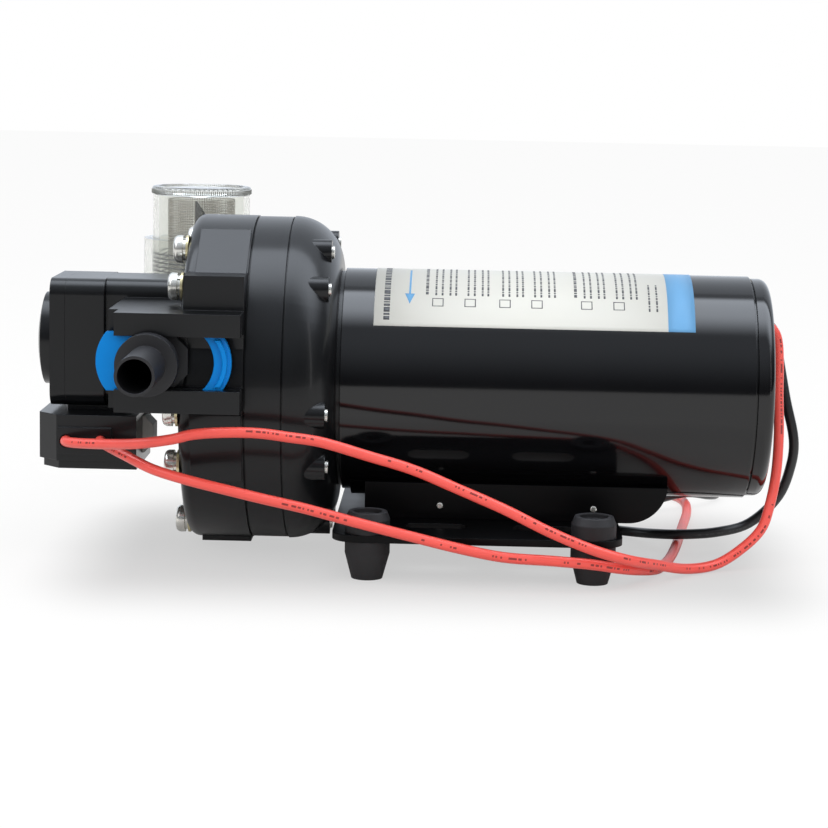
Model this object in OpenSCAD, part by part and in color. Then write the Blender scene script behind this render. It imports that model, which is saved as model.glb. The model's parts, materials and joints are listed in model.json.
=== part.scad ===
// Caravan water pump: a five-chamber diaphragm pump with its motor, pressure switch,
// quick-connect ports, inlet strainer and base. The motor axis runs along X, the head
// is at the -X end, and the origin is the centre of the four mounting holes on the floor.

/* [Motor] */
// Height of the motor axis above the floor
axis_h = 56; // [53.5:0.5:64]
// Front end of the motor can, measured from the mounting holes' centre
motor_x = -45; // [-50:0.5:-40]
// Outside diameter of the motor can
can_d = 72; // [70:0.5:73]
// Wall of the motor can
can_wall = 2.5; // [2:0.1:3]
// Length of the motor can
can_l = 130; // [128:1:150]
// Length of the rear end cap outside the can
cap_l = 6.2; // [5.5:0.1:9]
// Diameter of the motor shaft
shaft_d = 8; // [7:0.1:8.4]
// Outside diameter of the armature core
core_d = 50; // [46:0.5:51]
// Length of the armature core
core_l = 60; // [50:1:62]

/* [Pump] */
// Outside diameter of the pump head
head_d = 105; // [104:0.5:112]
// Length of the round part of the pump head
head_l = 20.2; // [20:0.1:24]
// Length of the middle ring
ring_l = 12.1; // [11.5:0.1:15]
// Length of the bell housing
bell_l = 16.8; // [16:0.1:20]
// Radius of the bell's dome
dome_r = 15.5; // [14:0.1:15.8]
// Radius of the screw circle
screw_r = 47; // [46.7:0.1:48]
// Half angle between the two screws of a pair
screw_half_angle = 11; // [9:0.5:13]
// Diameter of the head screws
screw_d = 4; // [3.5:0.1:4.2]
// Tilt of the wobble plate in degrees
wobble_tilt = 4; // [2:0.5:4.5]
// Radius of the circle of pumping chambers
chamber_circle_r = 26; // [25.5:0.1:27]
// Radius of one pumping chamber
chamber_r = 11.5; // [11:0.1:12]

/* [Ports] */
// Distance of the port axis in front of the pump head's face
port_ahead = 7.5; // [7:0.1:9]
// Height of the port axis above the motor axis
port_rise = 11.2; // [10.5:0.1:12]
// Face of the port sockets, measured from the motor axis
socket_y = 52; // [51.5:0.5:55]
// Radius of the port socket
socket_r = 9.5; // [9:0.1:10]
// Outside diameter of the hose tails
tail_d = 12; // [11:0.5:14]
// Length of the hose tails
tail_l = 25; // [20:1:36]
// Bore of the hose tails
tail_bore = 10.2; // [8:0.1:10.4]
// Height of one clip rail
rail_h = 7; // [6:0.1:7.2]
// Height of the gap between the clip rails
rail_gap = 16.4; // [16:0.1:17]
// Thickness of the clips
clip_t = 2.2; // [1.8:0.1:2.4]
// Travel of the clips
clip_travel = 8; // [7:0.1:8.2]

/* [Switch] */
// Width of the front boss and the switch housing
boss_w = 35; // [33:0.5:38]
// Length of the front boss
boss_l = 27.5; // [27:0.5:32]
// Length of the switch housing
housing_l = 12.5; // [12:0.1:15]
// Length of the switch cover
cover_l = 5; // [4.5:0.1:6]
// Diameter of the round dome on the switch cover
dome_d = 30; // [24:0.5:32]
// Height of the switch box
box_h = 14.8; // [14.2:0.1:18]

/* [Strainer] */
// Distance of the strainer's axis from the motor axis
strainer_y = 84; // [83.5:0.5:92]
// Outside diameter of the strainer body
strainer_d = 40.8; // [40.4:0.1:42]
// Outside diameter of the strainer bowl
bowl_d = 34.5; // [33.8:0.1:34.8]
// Height of the bowl's top above the motor axis
bowl_top = 57; // [54:0.5:70]
// Outside diameter of the strainer screen
screen_d = 24.2; // [22:0.1:26]

/* [Base] */
// Distance between the mounting holes along the pump
hole_dx = 70; // [66:0.5:72]
// Distance between the mounting holes across the pump
hole_dy = 96; // [92:0.5:96]
// Diameter of the mounting holes
hole_d = 5; // [4:0.1:6]
// Gap between the base plate and the motor can
saddle_gap = 5.6; // [2.6:0.1:7]
// Half width of the base plate
plate_half_w = 55; // [54.5:0.1:57]
// Thickness of the base sheet
sheet = 1.6; // [1.2:0.1:2.2]
// Half width of the motor saddle
saddle_half_w = 24; // [20:0.5:26]

/* [Wires] */
// Diameter of the insulated wires
wire_d = 3.3; // [2.6:0.1:3.4]

/* [Hidden] */
$fn = 64;

// Clearances: fixed fits, running fits and free gaps between moving pieces
fit = 0.05;
run = 0.05;
gap = 0.35;
// Small overlap that lets a cut pass through a face
eps = 1;

// Stations along the motor axis, from the motor towards the switch
x_can1 = motor_x + can_l;
x_cap1 = x_can1 + cap_l;
x_bell0 = motor_x - bell_l;
x_ring0 = x_bell0 - ring_l;
x_head0 = x_ring0 - head_l;
x_boss0 = x_head0 - boss_l;
x_housing0 = x_boss0 - housing_l;
x_cover0 = x_housing0 - cover_l;

can_in_d = can_d - 2 * can_wall;
head_r = head_d / 2;
port_x = x_head0 - port_ahead;
port_z = axis_h + port_rise;

// Inner pieces of the motor
bearing_d = 22;
bearing_w = 7;
bearing_x0 = motor_x - 6;
spigot_l = 4;
spigot_wall = 1;
bush_d = 14;
bush_l = 8;
bush_x0 = x_cap1 - 11;
cap_boss_d = 20;
bolt_d = 4;
bolt_r = (can_in_d + core_d) / 4;
bolt_head_d = 7;
bolt_head_h = 3;
slot_count = 12;
slot_r = 3.2;
tooth_tip = 2.3;
slot_circle_r = core_d / 2 - slot_r - tooth_tip;
turn_l = 11;
commutator_d = 22;
commutator_l = 12;
brush_w = 5.8;
brush_l = 9;
brush_box_wall = 1.2;
brush_box_l = 15;
holder_t = 2.5;
rear_room = 8.5;
holder_x0 = x_can1 - rear_room - holder_t;
commutator_x0 = holder_x0 - 1 - commutator_l;
core_x1 = commutator_x0 - 2 - turn_l;
core_x0 = core_x1 - core_l;
air_gap = 1.1;
magnet_t = (can_in_d - core_d) / 2 - air_gap;
magnet_angle = 130;
seam_l = 0.8;
seam_depth = 1.8;
grommet_rise = 20.6;
grommet_z = axis_h + grommet_rise;
grommet_y = [4, 14];
grommet_d = 8;
wire_exit_x = x_cap1 - 1.8;

// Inner pieces of the pump
pocket_r = screw_r - screw_d / 2 - 2.3;
plate_l = 13;
rubber_t = 1.5;
x_rubber1 = x_ring0;
x_rubber0 = x_rubber1 - rubber_t;
x_valve0 = x_rubber0 - plate_l;
plenum_l = 3;
chamber_l = 9.5;
cup_half = 3.3;
cup_r = 8;
wobble_x = x_rubber1 - rubber_t / 2;
arm_z0 = 5;
arm_t = 4.2;
hub_z0 = arm_z0 + arm_t + 0.5;
hub_l = 10;
hub_d = 14;
cam_w = 8;
cam_z0 = hub_z0 + 1;
cam_in_d = 18.4;
cam_out_d = 26;
shaft_x0 = wobble_x + hub_z0 + 1;
piston_t = 2.2;
piston_head_h = 1;
ring_in_r = pocket_r - 2.5;
ring_step = 0.3;
joint_w = 0.5;
joint_depth = 1.1;
head_edge = 3.5;
land_proud = 0.3;
land_w = 2 * screw_r * sin(screw_half_angle) + 5;
land_in = 4;
land_set = 0.4;

// Screws of the pump head
pair_angles = [for (k = [0:4]) 72 * k];
screw_angles = [for (a = pair_angles, s = [-1, 1]) a + screw_half_angle * s];
washer_t = 0.8;
spring_washer_t = 1;
screw_head_d = 8.8;
screw_head_h = 3;
screw_tip = 0.8;
boss_d = 8;
boss_end = 13;
screw_hole_d = screw_d + 0.4;

// Front boss and switch
boss_z0 = axis_h - 9;
boss_z1 = axis_h + 32;
boss_round = 5;
boss_step = 2.5;
dome_h = 2.2;
dome_base = 3.6;
plunger_d = 14;
stem_d = 6;
plunger_t = 3;
plunger_travel = 1.2;
press_rubber_d = 24;
box_x0 = x_cover0 - 3;
box_x1 = x_boss0 + 11.5;
box_z1 = boss_z0 - 1.6;
box_z0 = box_z1 - box_h;
box_y0 = -25;
box_y1 = 12;
box_wall = 2;
box_cut = 6.5;
lid_t = 2.6;
lid_edge = 1.3;
lid_l = 30.6;
panel_t = 1.4;
panel_l = 17.2;
panel_h = 8.6;
panel_edge = 2.7;
micro_out = 3.5;
micro_t = 10;
switch_exit_z = box_z1 - 8.2;
link_exit_x = box_x0 + 9.7;
supply_exit_x = box_x0 + 20.8;

// Port blocks, rails, clips and fittings; drawn on the outlet side, mirrored on the inlet side
block_x0 = port_x - 13.5;
block_x1 = x_head0 + 3;
rail_x0 = port_x - 10.5;
pad_edge = 1.6;
pad_rise = 37;
rail_y = socket_y + 10;
half_gap = rail_gap / 2;
groove_depth = 4.6;
flange_half_l = 11.2;
flange_half_h = half_gap - 0.2;
flange_cut = 4;
flange_t = 3.5;
neck_d = 15.5;
neck_l = 6.7;
collar_d = 19;
collar_l = 5.6;
spigot_in = 26;
o_ring_r = 1.3;
clip_y = socket_y + 4.2;
clip_narrow_r = neck_d / 2 + gap;
clip_wide_r = flange_half_l + 0.3;
clip_half_h = half_gap + groove_depth - 0.2;
lobe_half_h = 9;
clip_left = 16.5;
clip_right = 24.8;
clip_edge_r = 14.2;
tail_y0 = socket_y + 0.2 + flange_t + neck_l + collar_l;

// Strainer
strainer_z0 = axis_h - 6;
collar_rise = 38.5;
collar_top = axis_h + collar_rise;
ledge_z = axis_h + 17.5;
gasket_t = 2;
bowl_wall = 2;
bowl_z0 = ledge_z + gasket_t + 0.1;
knurl_count = 40;

// Base
plate_top = axis_h - can_d / 2 - saddle_gap;
plate_x0 = -hole_dx / 2 - 11;
plate_x1 = hole_dx / 2 + 9;
lip_drop = 0.6;
lip_h = sheet + lip_drop;
foot_low_d = 9.7;
foot_d = 14;
foot_neck_d = 12;
foot_rise = 6.6;
foot_top = plate_top + foot_rise;
foot_rim_h = 4.2;
foot_shoulder = 2.4;
foot_taper_h = plate_top - lip_h - foot_rim_h;
foot_seat_d = 9;
foot_seat_h = 1.5;
tongue_l = 5;
saddle_x0 = -42;
saddle_x1 = 59.5;
saddle_round = 12.5;
saddle_top = plate_top + saddle_gap + 6;
rivet_x = [-13, 36];
rivet_rise = 4.4;
rivet_r = 1.1;
vent_x = [-14, 20];
vent_l = 20;
vent_w = 8;
vent_out = 12;
opening_x0 = -30;
opening_l = 60;
opening_edge = 6;

// Places an axial shape with its own +Z along the motor axis
module along_x(x) {
    translate([x, 0, axis_h]) rotate([0, 90, 0]) children();
}

// Places a shape on the outlet side (-1) or the inlet side (1)
module on_side(s) {
    mirror([0, s > 0 ? 1 : 0, 0]) children();
}

// Places an axial shape with its own +Z along the outlet port, from the motor's plane
module along_port() {
    translate([port_x, 0, port_z]) rotate([90, 0, 0]) children();
}

// Places a shape in the wobble plate's tilted frame, centred on the diaphragm
module wobble_frame() {
    translate([wobble_x, 0, axis_h]) rotate([0, 90 + wobble_tilt, 0]) children();
}

// Flat ring
module ring(od, id, h) {
    difference() {
        cylinder(d = od, h = h);
        translate([0, 0, -eps]) cylinder(d = id, h = h + 2 * eps);
    }
}

// Disc with its upper edge rounded
module domed_disc(r, h, edge) {
    rotate_extrude($fn = 128) {
        square([r - edge, h]);
        square([r, h - edge]);
        translate([r - edge, h - edge]) intersection() {
            circle(edge);
            square(edge);
        }
    }
}

// Shallow spherical cap standing on the XY plane
module lens(d, h, base) {
    r = (d * d / 4 + h * h) / (2 * h);
    rotate_extrude($fn = 128) {
        square([d / 2, base]);
        translate([0, base]) intersection() {
            translate([0, h - r]) circle(r);
            square([d / 2, h]);
        }
    }
}

// Rectangle with round corners, from its lowest to its highest corner
module round_rect(x0, y0, x1, y1, r) {
    translate([x0 + r, y0]) square([x1 - x0 - 2 * r, y1 - y0]);
    translate([x0, y0 + r]) square([x1 - x0, y1 - y0 - 2 * r]);
    for (x = [x0 + r, x1 - r], y = [y0 + r, y1 - r]) translate([x, y]) circle(r);
}

// Rectangle with its lowest corner cut off at 45 degrees
module cut_rect(x0, y0, x1, y1, cut) {
    polygon([[x0 + cut, y0], [x1, y0], [x1, y1], [x0, y1], [x0, y0 + cut]]);
}

// Puts copies round the motor axis at a radius
module around(angles, r) {
    for (a = angles) rotate(a) translate([r, 0, 0]) children();
}

function unit(v) = v / norm(v);
function tangent(p, i) = unit(p[min(i + 1, len(p) - 1)] - p[max(i - 1, 0)]);
function across(v, t) = unit(v - (v * t) * t);
function normals(p, first) = [
    for (i = 0, n = across(first, tangent(p, 0)); i < len(p);
         i = i + 1, n = i < len(p) ? across(n, tangent(p, i)) : n) n
];

// Round tube of constant section swept along a list of points
module swept_tube(p, d, sides, first) {
    n = normals(p, first);
    count = len(p);
    points = [
        for (i = [0:count - 1], k = [0:sides - 1])
            let (t = tangent(p, i), b = cross(t, n[i]), a = 360 * k / sides)
            p[i] + d / 2 * (cos(a) * n[i] + sin(a) * b)
    ];
    start_cap = [for (k = [1:sides - 2]) [0, k, k + 1]];
    last = (count - 1) * sides;
    end_cap = [for (k = [1:sides - 2]) [last, last + k + 1, last + k]];
    walls = [
        for (i = [0:count - 2], k = [0:sides - 1], half = [0, 1])
            let (a = i * sides + k, b = i * sides + (k + 1) % sides)
            half == 0 ? [a, a + sides, b] : [b, a + sides, b + sides]
    ];
    polyhedron(points = points, faces = concat(start_cap, walls, end_cap));
}

// Points of a helix about +Z
function helix(r, height, turns, steps) = [
    for (i = [0:turns * steps])
        [r * cos(360 * i / steps), r * sin(360 * i / steps), height * i / (turns * steps)]
];

// Compression spring standing on the XY plane
module coil_spring(d, wire, height, turns) {
    translate([0, 0, wire / 2])
        swept_tube(helix((d - wire) / 2, height - wire, turns, 8), wire, 6, [1, 0, 0]);
}

// Motor

module motor_can() {
    color("#141416") along_x(motor_x) ring(can_d, can_in_d, can_l);
}

module motor_end_cap() {
    color("#1a1a1c") difference() {
        union() {
            along_x(x_can1) domed_disc(can_d / 2 - 0.7, cap_l, 3);
            along_x(x_can1 - spigot_l) ring(can_in_d - 2 * fit, can_in_d - 2 * spigot_wall, spigot_l);
            along_x(bush_x0) cylinder(d = cap_boss_d, h = x_can1 - bush_x0 + eps);
        }
        along_x(x_can1) ring(can_d, can_d - 2 * seam_depth, seam_l);
        along_x(bush_x0 - eps) cylinder(d = bush_d + 2 * fit, h = bush_l + eps);
        along_x(x_can1 - eps) around([90, 270], bolt_r) cylinder(d = bolt_d + 0.4, h = cap_l + 2 * eps);
        along_x(x_cap1 - bolt_head_h) around([90, 270], bolt_r)
            cylinder(d = bolt_head_d + 0.4, h = bolt_head_h + eps);
        for (y = grommet_y) translate([x_can1 - eps, y, grommet_z]) rotate([0, 90, 0]) {
            cylinder(d = grommet_d - 2, h = cap_l + 2 * eps);
            translate([0, 0, eps + wire_exit_x - 1.5 - x_can1]) cylinder(d = grommet_d + 2 * fit, h = cap_l);
        }
    }
}

module motor_magnets() {
    span = (180 - magnet_angle) / 2;
    color("#3a3a3c") along_x(core_x0 - 3) difference() {
        ring(can_in_d - 2 * fit, can_in_d - 2 * magnet_t, core_l + 6);
        for (a = [0, 180]) rotate(a + 90) linear_extrude(3 * can_l, center = true)
            polygon([
                [0, 0], can_d * [cos(span), sin(span)],
                [2 * can_d, 0], can_d * [cos(span), -sin(span)]
            ]);
    }
}

module through_bolts() {
    color("silver") along_x(x_bell0 + 10) around([90, 270], bolt_r) {
        cylinder(d = bolt_d, h = x_cap1 - bolt_head_h - x_bell0 - 10);
        translate([0, 0, x_cap1 - bolt_head_h - x_bell0 - 10])
            cylinder(d = bolt_head_d, h = bolt_head_h - 0.3);
    }
}

module brush_holder() {
    box_r0 = commutator_d / 2 + 2;
    color("#5a4632") difference() {
        union() {
            along_x(holder_x0) ring(can_in_d - 2 * fit, commutator_d + 6, holder_t);
            for (s = [-1, 1]) translate([commutator_x0 + 1, -brush_w / 2 - brush_box_wall,
                axis_h + (s > 0 ? box_r0 : -box_r0 - brush_box_l)])
                cube([holder_x0 - commutator_x0 - 1, brush_w + 2 * brush_box_wall, brush_box_l]);
        }
        for (s = [-1, 1]) translate([commutator_x0 + 1 + brush_box_wall, -brush_w / 2 - 0.1,
            axis_h + (s > 0 ? box_r0 - eps : -box_r0 - brush_box_l + brush_box_wall)])
            cube([brush_w + 0.2, brush_w + 0.2, brush_box_l - brush_box_wall + eps]);
        along_x(holder_x0 - eps) around([90, 270], bolt_r) cylinder(d = bolt_d + 0.4, h = holder_t + 2 * eps);
    }
}

// Places a shape with its own +Z pointing out from the commutator, above and below it
module at_brushes(r) {
    for (s = [0, 180]) translate([commutator_x0 + 1.1 + brush_box_wall + brush_w / 2, 0, axis_h])
        rotate([s, 0, 0]) translate([0, 0, r]) children();
}

module carbon_brushes() {
    color("#2b2b2b") at_brushes(commutator_d / 2 + gap)
        translate([-brush_w / 2, -brush_w / 2, 0]) cube([brush_w, brush_w, brush_l]);
}

module brush_springs() {
    start = commutator_d / 2 + gap + brush_l;
    color("gold") at_brushes(start)
        coil_spring(4.4, 0.6, commutator_d / 2 + 2 + brush_box_l - brush_box_wall - start, 3);
}

module rear_bush() {
    color("#b08d57") along_x(bush_x0) ring(bush_d, shaft_d + 2 * run, bush_l);
}

module front_bearing_outer() {
    color("silver") along_x(bearing_x0) ring(bearing_d, bearing_d - 5, bearing_w);
}

module front_bearing_inner() {
    color("silver") along_x(bearing_x0) ring(bearing_d - 6.2, shaft_d + 0.02, bearing_w);
}

module motor_shaft() {
    color("silver") along_x(shaft_x0) cylinder(d = shaft_d, h = bush_x0 + bush_l - 0.5 - shaft_x0);
}

module armature_core() {
    color("#6d7074") along_x(core_x0) difference() {
        cylinder(d = core_d, h = core_l);
        translate([0, 0, -eps]) cylinder(d = shaft_d + 0.02, h = core_l + 2 * eps);
        around([for (k = [1:slot_count]) 360 * k / slot_count], slot_circle_r) translate([0, 0, -eps]) {
            cylinder(r = slot_r, h = core_l + 2 * eps);
            translate([0, -slot_r / 4, 0]) cube([core_d, slot_r / 2, core_l + 2 * eps]);
        }
    }
}

module armature_windings() {
    bar_r = slot_r - 0.2;
    color("#b5651d") along_x(core_x0) {
        around([for (k = [1:slot_count]) 360 * k / slot_count], slot_circle_r)
            translate([0, 0, -2]) cylinder(r = bar_r, h = core_l + 4);
        for (z = [-turn_l, core_l + 0.3]) translate([0, 0, z]) rotate_extrude()
            round_rect(shaft_d / 2 + 3, 0, slot_circle_r + bar_r, turn_l - 0.3, 3);
    }
}

module commutator() {
    color("#c77b45") along_x(commutator_x0) difference() {
        ring(commutator_d, shaft_d + 0.02, commutator_l);
        around([for (k = [1:slot_count]) 360 * k / slot_count], commutator_d / 2 - 1.5)
            translate([0, -0.3, -eps]) cube([3, 0.6, commutator_l + 2 * eps]);
    }
}

// Wobble drive and diaphragm pump

module eccentric_hub() {
    color("#8d9196") difference() {
        wobble_frame() translate([0, 0, hub_z0]) cylinder(d = hub_d, h = hub_l);
        along_x(shaft_x0 - 5) cylinder(d = shaft_d + 0.02, h = 3 * hub_l);
    }
}

module cam_bearing_inner() {
    color("silver") wobble_frame() translate([0, 0, cam_z0]) ring(cam_in_d, hub_d + 0.02, cam_w);
}

module cam_bearing_outer() {
    color("silver") wobble_frame() translate([0, 0, cam_z0]) ring(cam_out_d, cam_in_d + 1.2, cam_w);
}

module wobble_plate() {
    cup_d = cam_out_d + 7;
    color("#d8d4c8") wobble_frame() difference() {
        union() {
            translate([0, 0, arm_z0]) cylinder(d = cup_d, h = cam_z0 + cam_w - arm_z0);
            for (a = pair_angles) rotate(a) translate([0, -5, arm_z0]) cube([chamber_circle_r, 10, arm_t]);
            around(pair_angles, chamber_circle_r) translate([0, 0, cup_half + fit])
                cylinder(r = cup_r - 1, h = arm_z0 + arm_t - cup_half - fit);
        }
        translate([0, 0, arm_z0 + arm_t]) cylinder(d = cam_out_d + 0.02, h = 3 * cam_w);
        around(pair_angles, chamber_circle_r) cylinder(d = screw_d + 0.1, h = 3 * arm_z0);
    }
}

module pistons() {
    color("#c9c5b8") wobble_frame() around(pair_angles, chamber_circle_r)
        translate([0, 0, -cup_half - fit - piston_t]) ring(2 * cup_r, screw_d + 0.1, piston_t);
}

module piston_screws() {
    top = -cup_half - fit - piston_t;
    color("silver") wobble_frame() around(pair_angles, chamber_circle_r) {
        translate([0, 0, top]) cylinder(d = screw_d, h = arm_z0 + arm_t - 0.4 - top);
        translate([0, 0, top - piston_head_h]) cylinder(d = 7, h = piston_head_h);
    }
}

module diaphragm() {
    color("#2e2e2e") difference() {
        union() {
            along_x(x_rubber0) cylinder(r = pocket_r - 0.2, h = rubber_t);
            wobble_frame() around(pair_angles, chamber_circle_r)
                translate([0, 0, -cup_half]) cylinder(r = cup_r, h = 2 * cup_half);
        }
        wobble_frame() around(pair_angles, chamber_circle_r)
            translate([0, 0, -2 * cup_half]) cylinder(d = screw_d + 0.1, h = 4 * cup_half);
    }
}

module valve_plate() {
    color("#d9d6cc") along_x(x_valve0) difference() {
        cylinder(r = pocket_r - 0.2, h = plate_l);
        around(pair_angles, chamber_circle_r) {
            translate([0, 0, plate_l - chamber_l]) cylinder(r = chamber_r, h = chamber_l + eps);
            translate([0, 0, -eps]) cylinder(d = 2.6, h = plate_l);
            for (a = [60, 180, 300]) rotate(a) translate([3, 0, -eps]) cylinder(d = 2.2, h = plate_l);
            translate([-chamber_r + 1.4, 0, -eps]) cylinder(d = 2.4, h = plate_l);
        }
    }
}

module inlet_valves() {
    color("#9a3b2f") along_x(x_valve0) around(pair_angles, chamber_circle_r)
        translate([0, 0, plate_l - chamber_l]) {
            cylinder(r = 4.6, h = 0.9);
            translate([0, 0, -plate_l + chamber_l]) cylinder(d = 2.4, h = plate_l - chamber_l + 0.5);
        }
}

module outlet_valve() {
    color("#9a3b2f") along_x(x_valve0 - 1) cylinder(r = chamber_circle_r - chamber_r + 2.8, h = 1);
}

// Section of the switch housing, or of the narrower boss behind it when it steps in
module boss_section(step = 0) {
    round_rect(step - boss_w / 2, boss_z0, boss_w / 2 - step, boss_z1, boss_round);
}

// Extrudes a section drawn in the YZ plane from x0 to x1
module along_body(x0, x1) {
    translate([x0, 0, 0]) rotate([90, 0, 90]) linear_extrude(x1 - x0) children();
}

// Socket block with the two clip rails of one port
module port_block() {
    half = half_gap + rail_h;
    translate([block_x0, -socket_y, port_z - half])
        cube([block_x1 - block_x0, socket_y - boss_w / 2 + 3, 2 * half]);
    for (z = [port_z - half, port_z + half_gap]) translate([rail_x0, -rail_y, z])
        cube([x_ring0 - rail_x0, rail_y - boss_w / 2, rail_h]);
    translate([x_head0 + pad_edge, -socket_y + pad_edge, port_z])
        cube([head_l - pad_edge, socket_y / 2, axis_h + pad_rise - port_z]);
}

module port_cuts() {
    along_port() translate([0, 0, socket_y - spigot_in - 2]) cylinder(r = socket_r, h = spigot_in + 2 + eps);
    translate([rail_x0 - eps, -clip_y - clip_t - 0.2, port_z - half_gap - groove_depth])
        cube([x_ring0 - rail_x0 + 2 * eps, clip_t + 0.4, rail_gap + 2 * groove_depth]);
}

// Screw hole with room in front of it for the screw's head and the driver
module screw_cut() {
    access = x_head0 - block_x0 + eps;
    access_r = screw_head_d / 2 + 1;
    rotate_extrude() polygon([
        [0, -access], [access_r, -access], [access_r, 0],
        [screw_hole_d / 2, 0], [screw_hole_d / 2, head_l + eps], [0, head_l + eps]
    ]);
}

module pump_head() {
    outlet_r = chamber_circle_r - chamber_r + 3.3;
    passage_d = 8;
    color("#222326") difference() {
        union() {
            along_x(x_ring0) mirror([0, 0, 1]) domed_disc(head_r, head_l, head_edge);
            along_x(x_head0 + head_edge + land_set) around(pair_angles, head_r - land_in)
                translate([0, -land_w / 2, 0])
                    cube([land_in + land_proud, land_w, head_l - head_edge - 2 * land_set]);
            along_body(x_boss0, x_head0 + eps) boss_section(boss_step);
            for (s = [-1, 1]) on_side(s) port_block();
        }
        along_x(x_valve0) cylinder(r = pocket_r, h = 2 * head_l);
        along_x(x_valve0 - plenum_l) {
            cylinder(r = outlet_r, h = plenum_l + eps);
            ring(2 * (pocket_r - 4), 2 * (outlet_r + 2), plenum_l + eps);
        }
        for (s = [-1, 1]) on_side(s) port_cuts();
        along_x(x_head0) around(screw_angles, screw_r) screw_cut();
        along_port() cylinder(d = passage_d, h = socket_y - spigot_in);
        translate([x_boss0 - eps, 0, port_z]) rotate([0, 90, 0])
            cylinder(d = passage_d, h = x_valve0 - x_boss0);
        translate([port_x, socket_y / 2 + 3, port_z]) rotate([0, 90, 0])
            cylinder(d = passage_d, h = x_valve0 - port_x);
        translate([x_boss0 - eps, 0, port_z]) rotate([0, 90, 0])
            cylinder(d = press_rubber_d + 0.2, h = rubber_t + eps);
    }
}

module middle_ring() {
    color("#202124") along_x(x_ring0) difference() {
        union() {
            ring(head_d - 2 * joint_depth, 2 * ring_in_r, ring_l);
            translate([0, 0, joint_w]) ring(head_d - 2 * ring_step, 2 * ring_in_r, ring_l - 2 * joint_w);
        }
        around(screw_angles, screw_r) translate([0, 0, -eps])
            cylinder(d = screw_hole_d, h = ring_l + 2 * eps);
    }
}

module bell_housing() {
    neck_r = head_r - dome_r;
    floor_z = bearing_x0 - 2.5 - x_bell0;
    color("#222326") along_x(x_bell0) difference() {
        union() {
            rotate_extrude($fn = 128) {
                square([neck_r, dome_r]);
                square([can_d / 2 - 1, bell_l]);
                translate([neck_r, 0]) intersection() {
                    circle(dome_r);
                    square(dome_r);
                }
            }
            around(screw_angles, screw_r) cylinder(d = boss_d, h = boss_end);
            translate([0, 0, bell_l - eps])
                ring(can_in_d - 2 * fit, can_in_d - 2 * spigot_wall, spigot_l + eps);
        }
        translate([0, 0, -eps]) cylinder(r = neck_r, h = floor_z + eps);
        translate([0, 0, -eps]) cylinder(d = bearing_d - 4, h = bell_l + 2 * eps);
        translate([0, 0, bearing_x0 - x_bell0]) cylinder(d = bearing_d + 2 * fit, h = bell_l);
        around(screw_angles, screw_r) translate([0, 0, -eps])
            cylinder(d = screw_hole_d, h = boss_end + 2 * eps);
        around([90, 270], bolt_r) translate([0, 0, floor_z - eps]) cylinder(d = bolt_d + 0.2, h = bell_l);
    }
}

module head_screws() {
    stack = washer_t + spring_washer_t;
    color("silver") along_x(x_head0) around(screw_angles, screw_r) {
        translate([0, 0, -stack]) cylinder(d = screw_d, h = stack + x_bell0 - x_head0 + boss_end + screw_tip);
        translate([0, 0, -stack]) mirror([0, 0, 1]) difference() {
            domed_disc(screw_head_d / 2, screw_head_h, 1.6);
            for (a = [0, 90]) rotate(a) translate([-2.4, -0.45, screw_head_h - 1.4]) cube([4.8, 0.9, 3]);
        }
    }
}

module spring_washers() {
    color("#c9ccd0") along_x(x_head0 - washer_t - spring_washer_t)
    around(screw_angles, screw_r) difference() {
        ring(screw_head_d - 1.6, screw_d + 0.2, spring_washer_t);
        translate([0, -0.4, -eps]) cube([screw_head_d, 0.8, spring_washer_t + 2 * eps]);
    }
}

module flat_washers() {
    color("#d8c98a") along_x(x_head0 - washer_t) around(screw_angles, screw_r)
        ring(screw_head_d, screw_d + 0.2, washer_t);
}

// Pressure switch

module switch_housing() {
    color("#232427") difference() {
        along_body(x_housing0, x_boss0) boss_section();
        translate([x_housing0 - eps, 0, port_z]) rotate([0, 90, 0])
            cylinder(d = plunger_d + 2 * run, h = housing_l + 2 * eps);
    }
}

module switch_cover() {
    color("#1d1e20") difference() {
        union() {
            along_body(x_cover0, x_housing0) boss_section();
            translate([x_cover0, 0, port_z]) rotate([0, -90, 0]) lens(dome_d, dome_h, dome_base);
        }
        translate([x_cover0 - 1, 0, port_z]) rotate([0, 90, 0])
            cylinder(d = stem_d + 2 * run, h = cover_l + 2 * eps);
    }
}

module switch_box() {
    micro_z0 = box_z0 + 0.8;
    color("#1f2022") difference() {
        union() {
            translate([0, 0, box_z0]) linear_extrude(box_h) cut_rect(box_x0, box_y0, box_x1, box_y1, box_cut);
            translate([x_housing0, -boss_w / 3, box_z1 - eps])
                cube([housing_l + 6, 2 * boss_w / 3 - 5, boss_z0 - box_z1 + eps]);
            translate([link_exit_x - panel_edge, box_y0 - panel_t, switch_exit_z - panel_h / 2])
                cube([panel_l, panel_t + eps, panel_h]);
        }
        translate([0, 0, box_z0 - eps]) linear_extrude(box_h - box_wall + eps)
            cut_rect(box_x0 + box_wall, box_y0 + 2 * box_wall, box_x1 - box_wall, box_y1 - box_wall,
                box_cut - (3 - sqrt(2)) * box_wall);
        for (x = [link_exit_x, supply_exit_x]) translate([x, box_y0 - panel_t - eps, switch_exit_z])
            rotate([-90, 0, 0]) cylinder(d = wire_d + 0.8, h = panel_t + 3 * box_wall);
        translate([box_x1 - 2 * box_wall, -micro_t - 0.1, micro_z0 - 0.1])
            cube([3 * box_wall, micro_t + 0.2, box_h - box_wall - 0.6]);
    }
}

module switch_box_lid() {
    color("#1a1b1d") translate([0, 0, box_z0 - lid_t]) linear_extrude(lid_t)
        cut_rect(box_x0 + lid_edge, box_y0 + lid_edge, box_x0 + lid_edge + lid_l, box_y1 - lid_edge,
            box_cut - (2 - sqrt(2)) * lid_edge);
}

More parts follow.
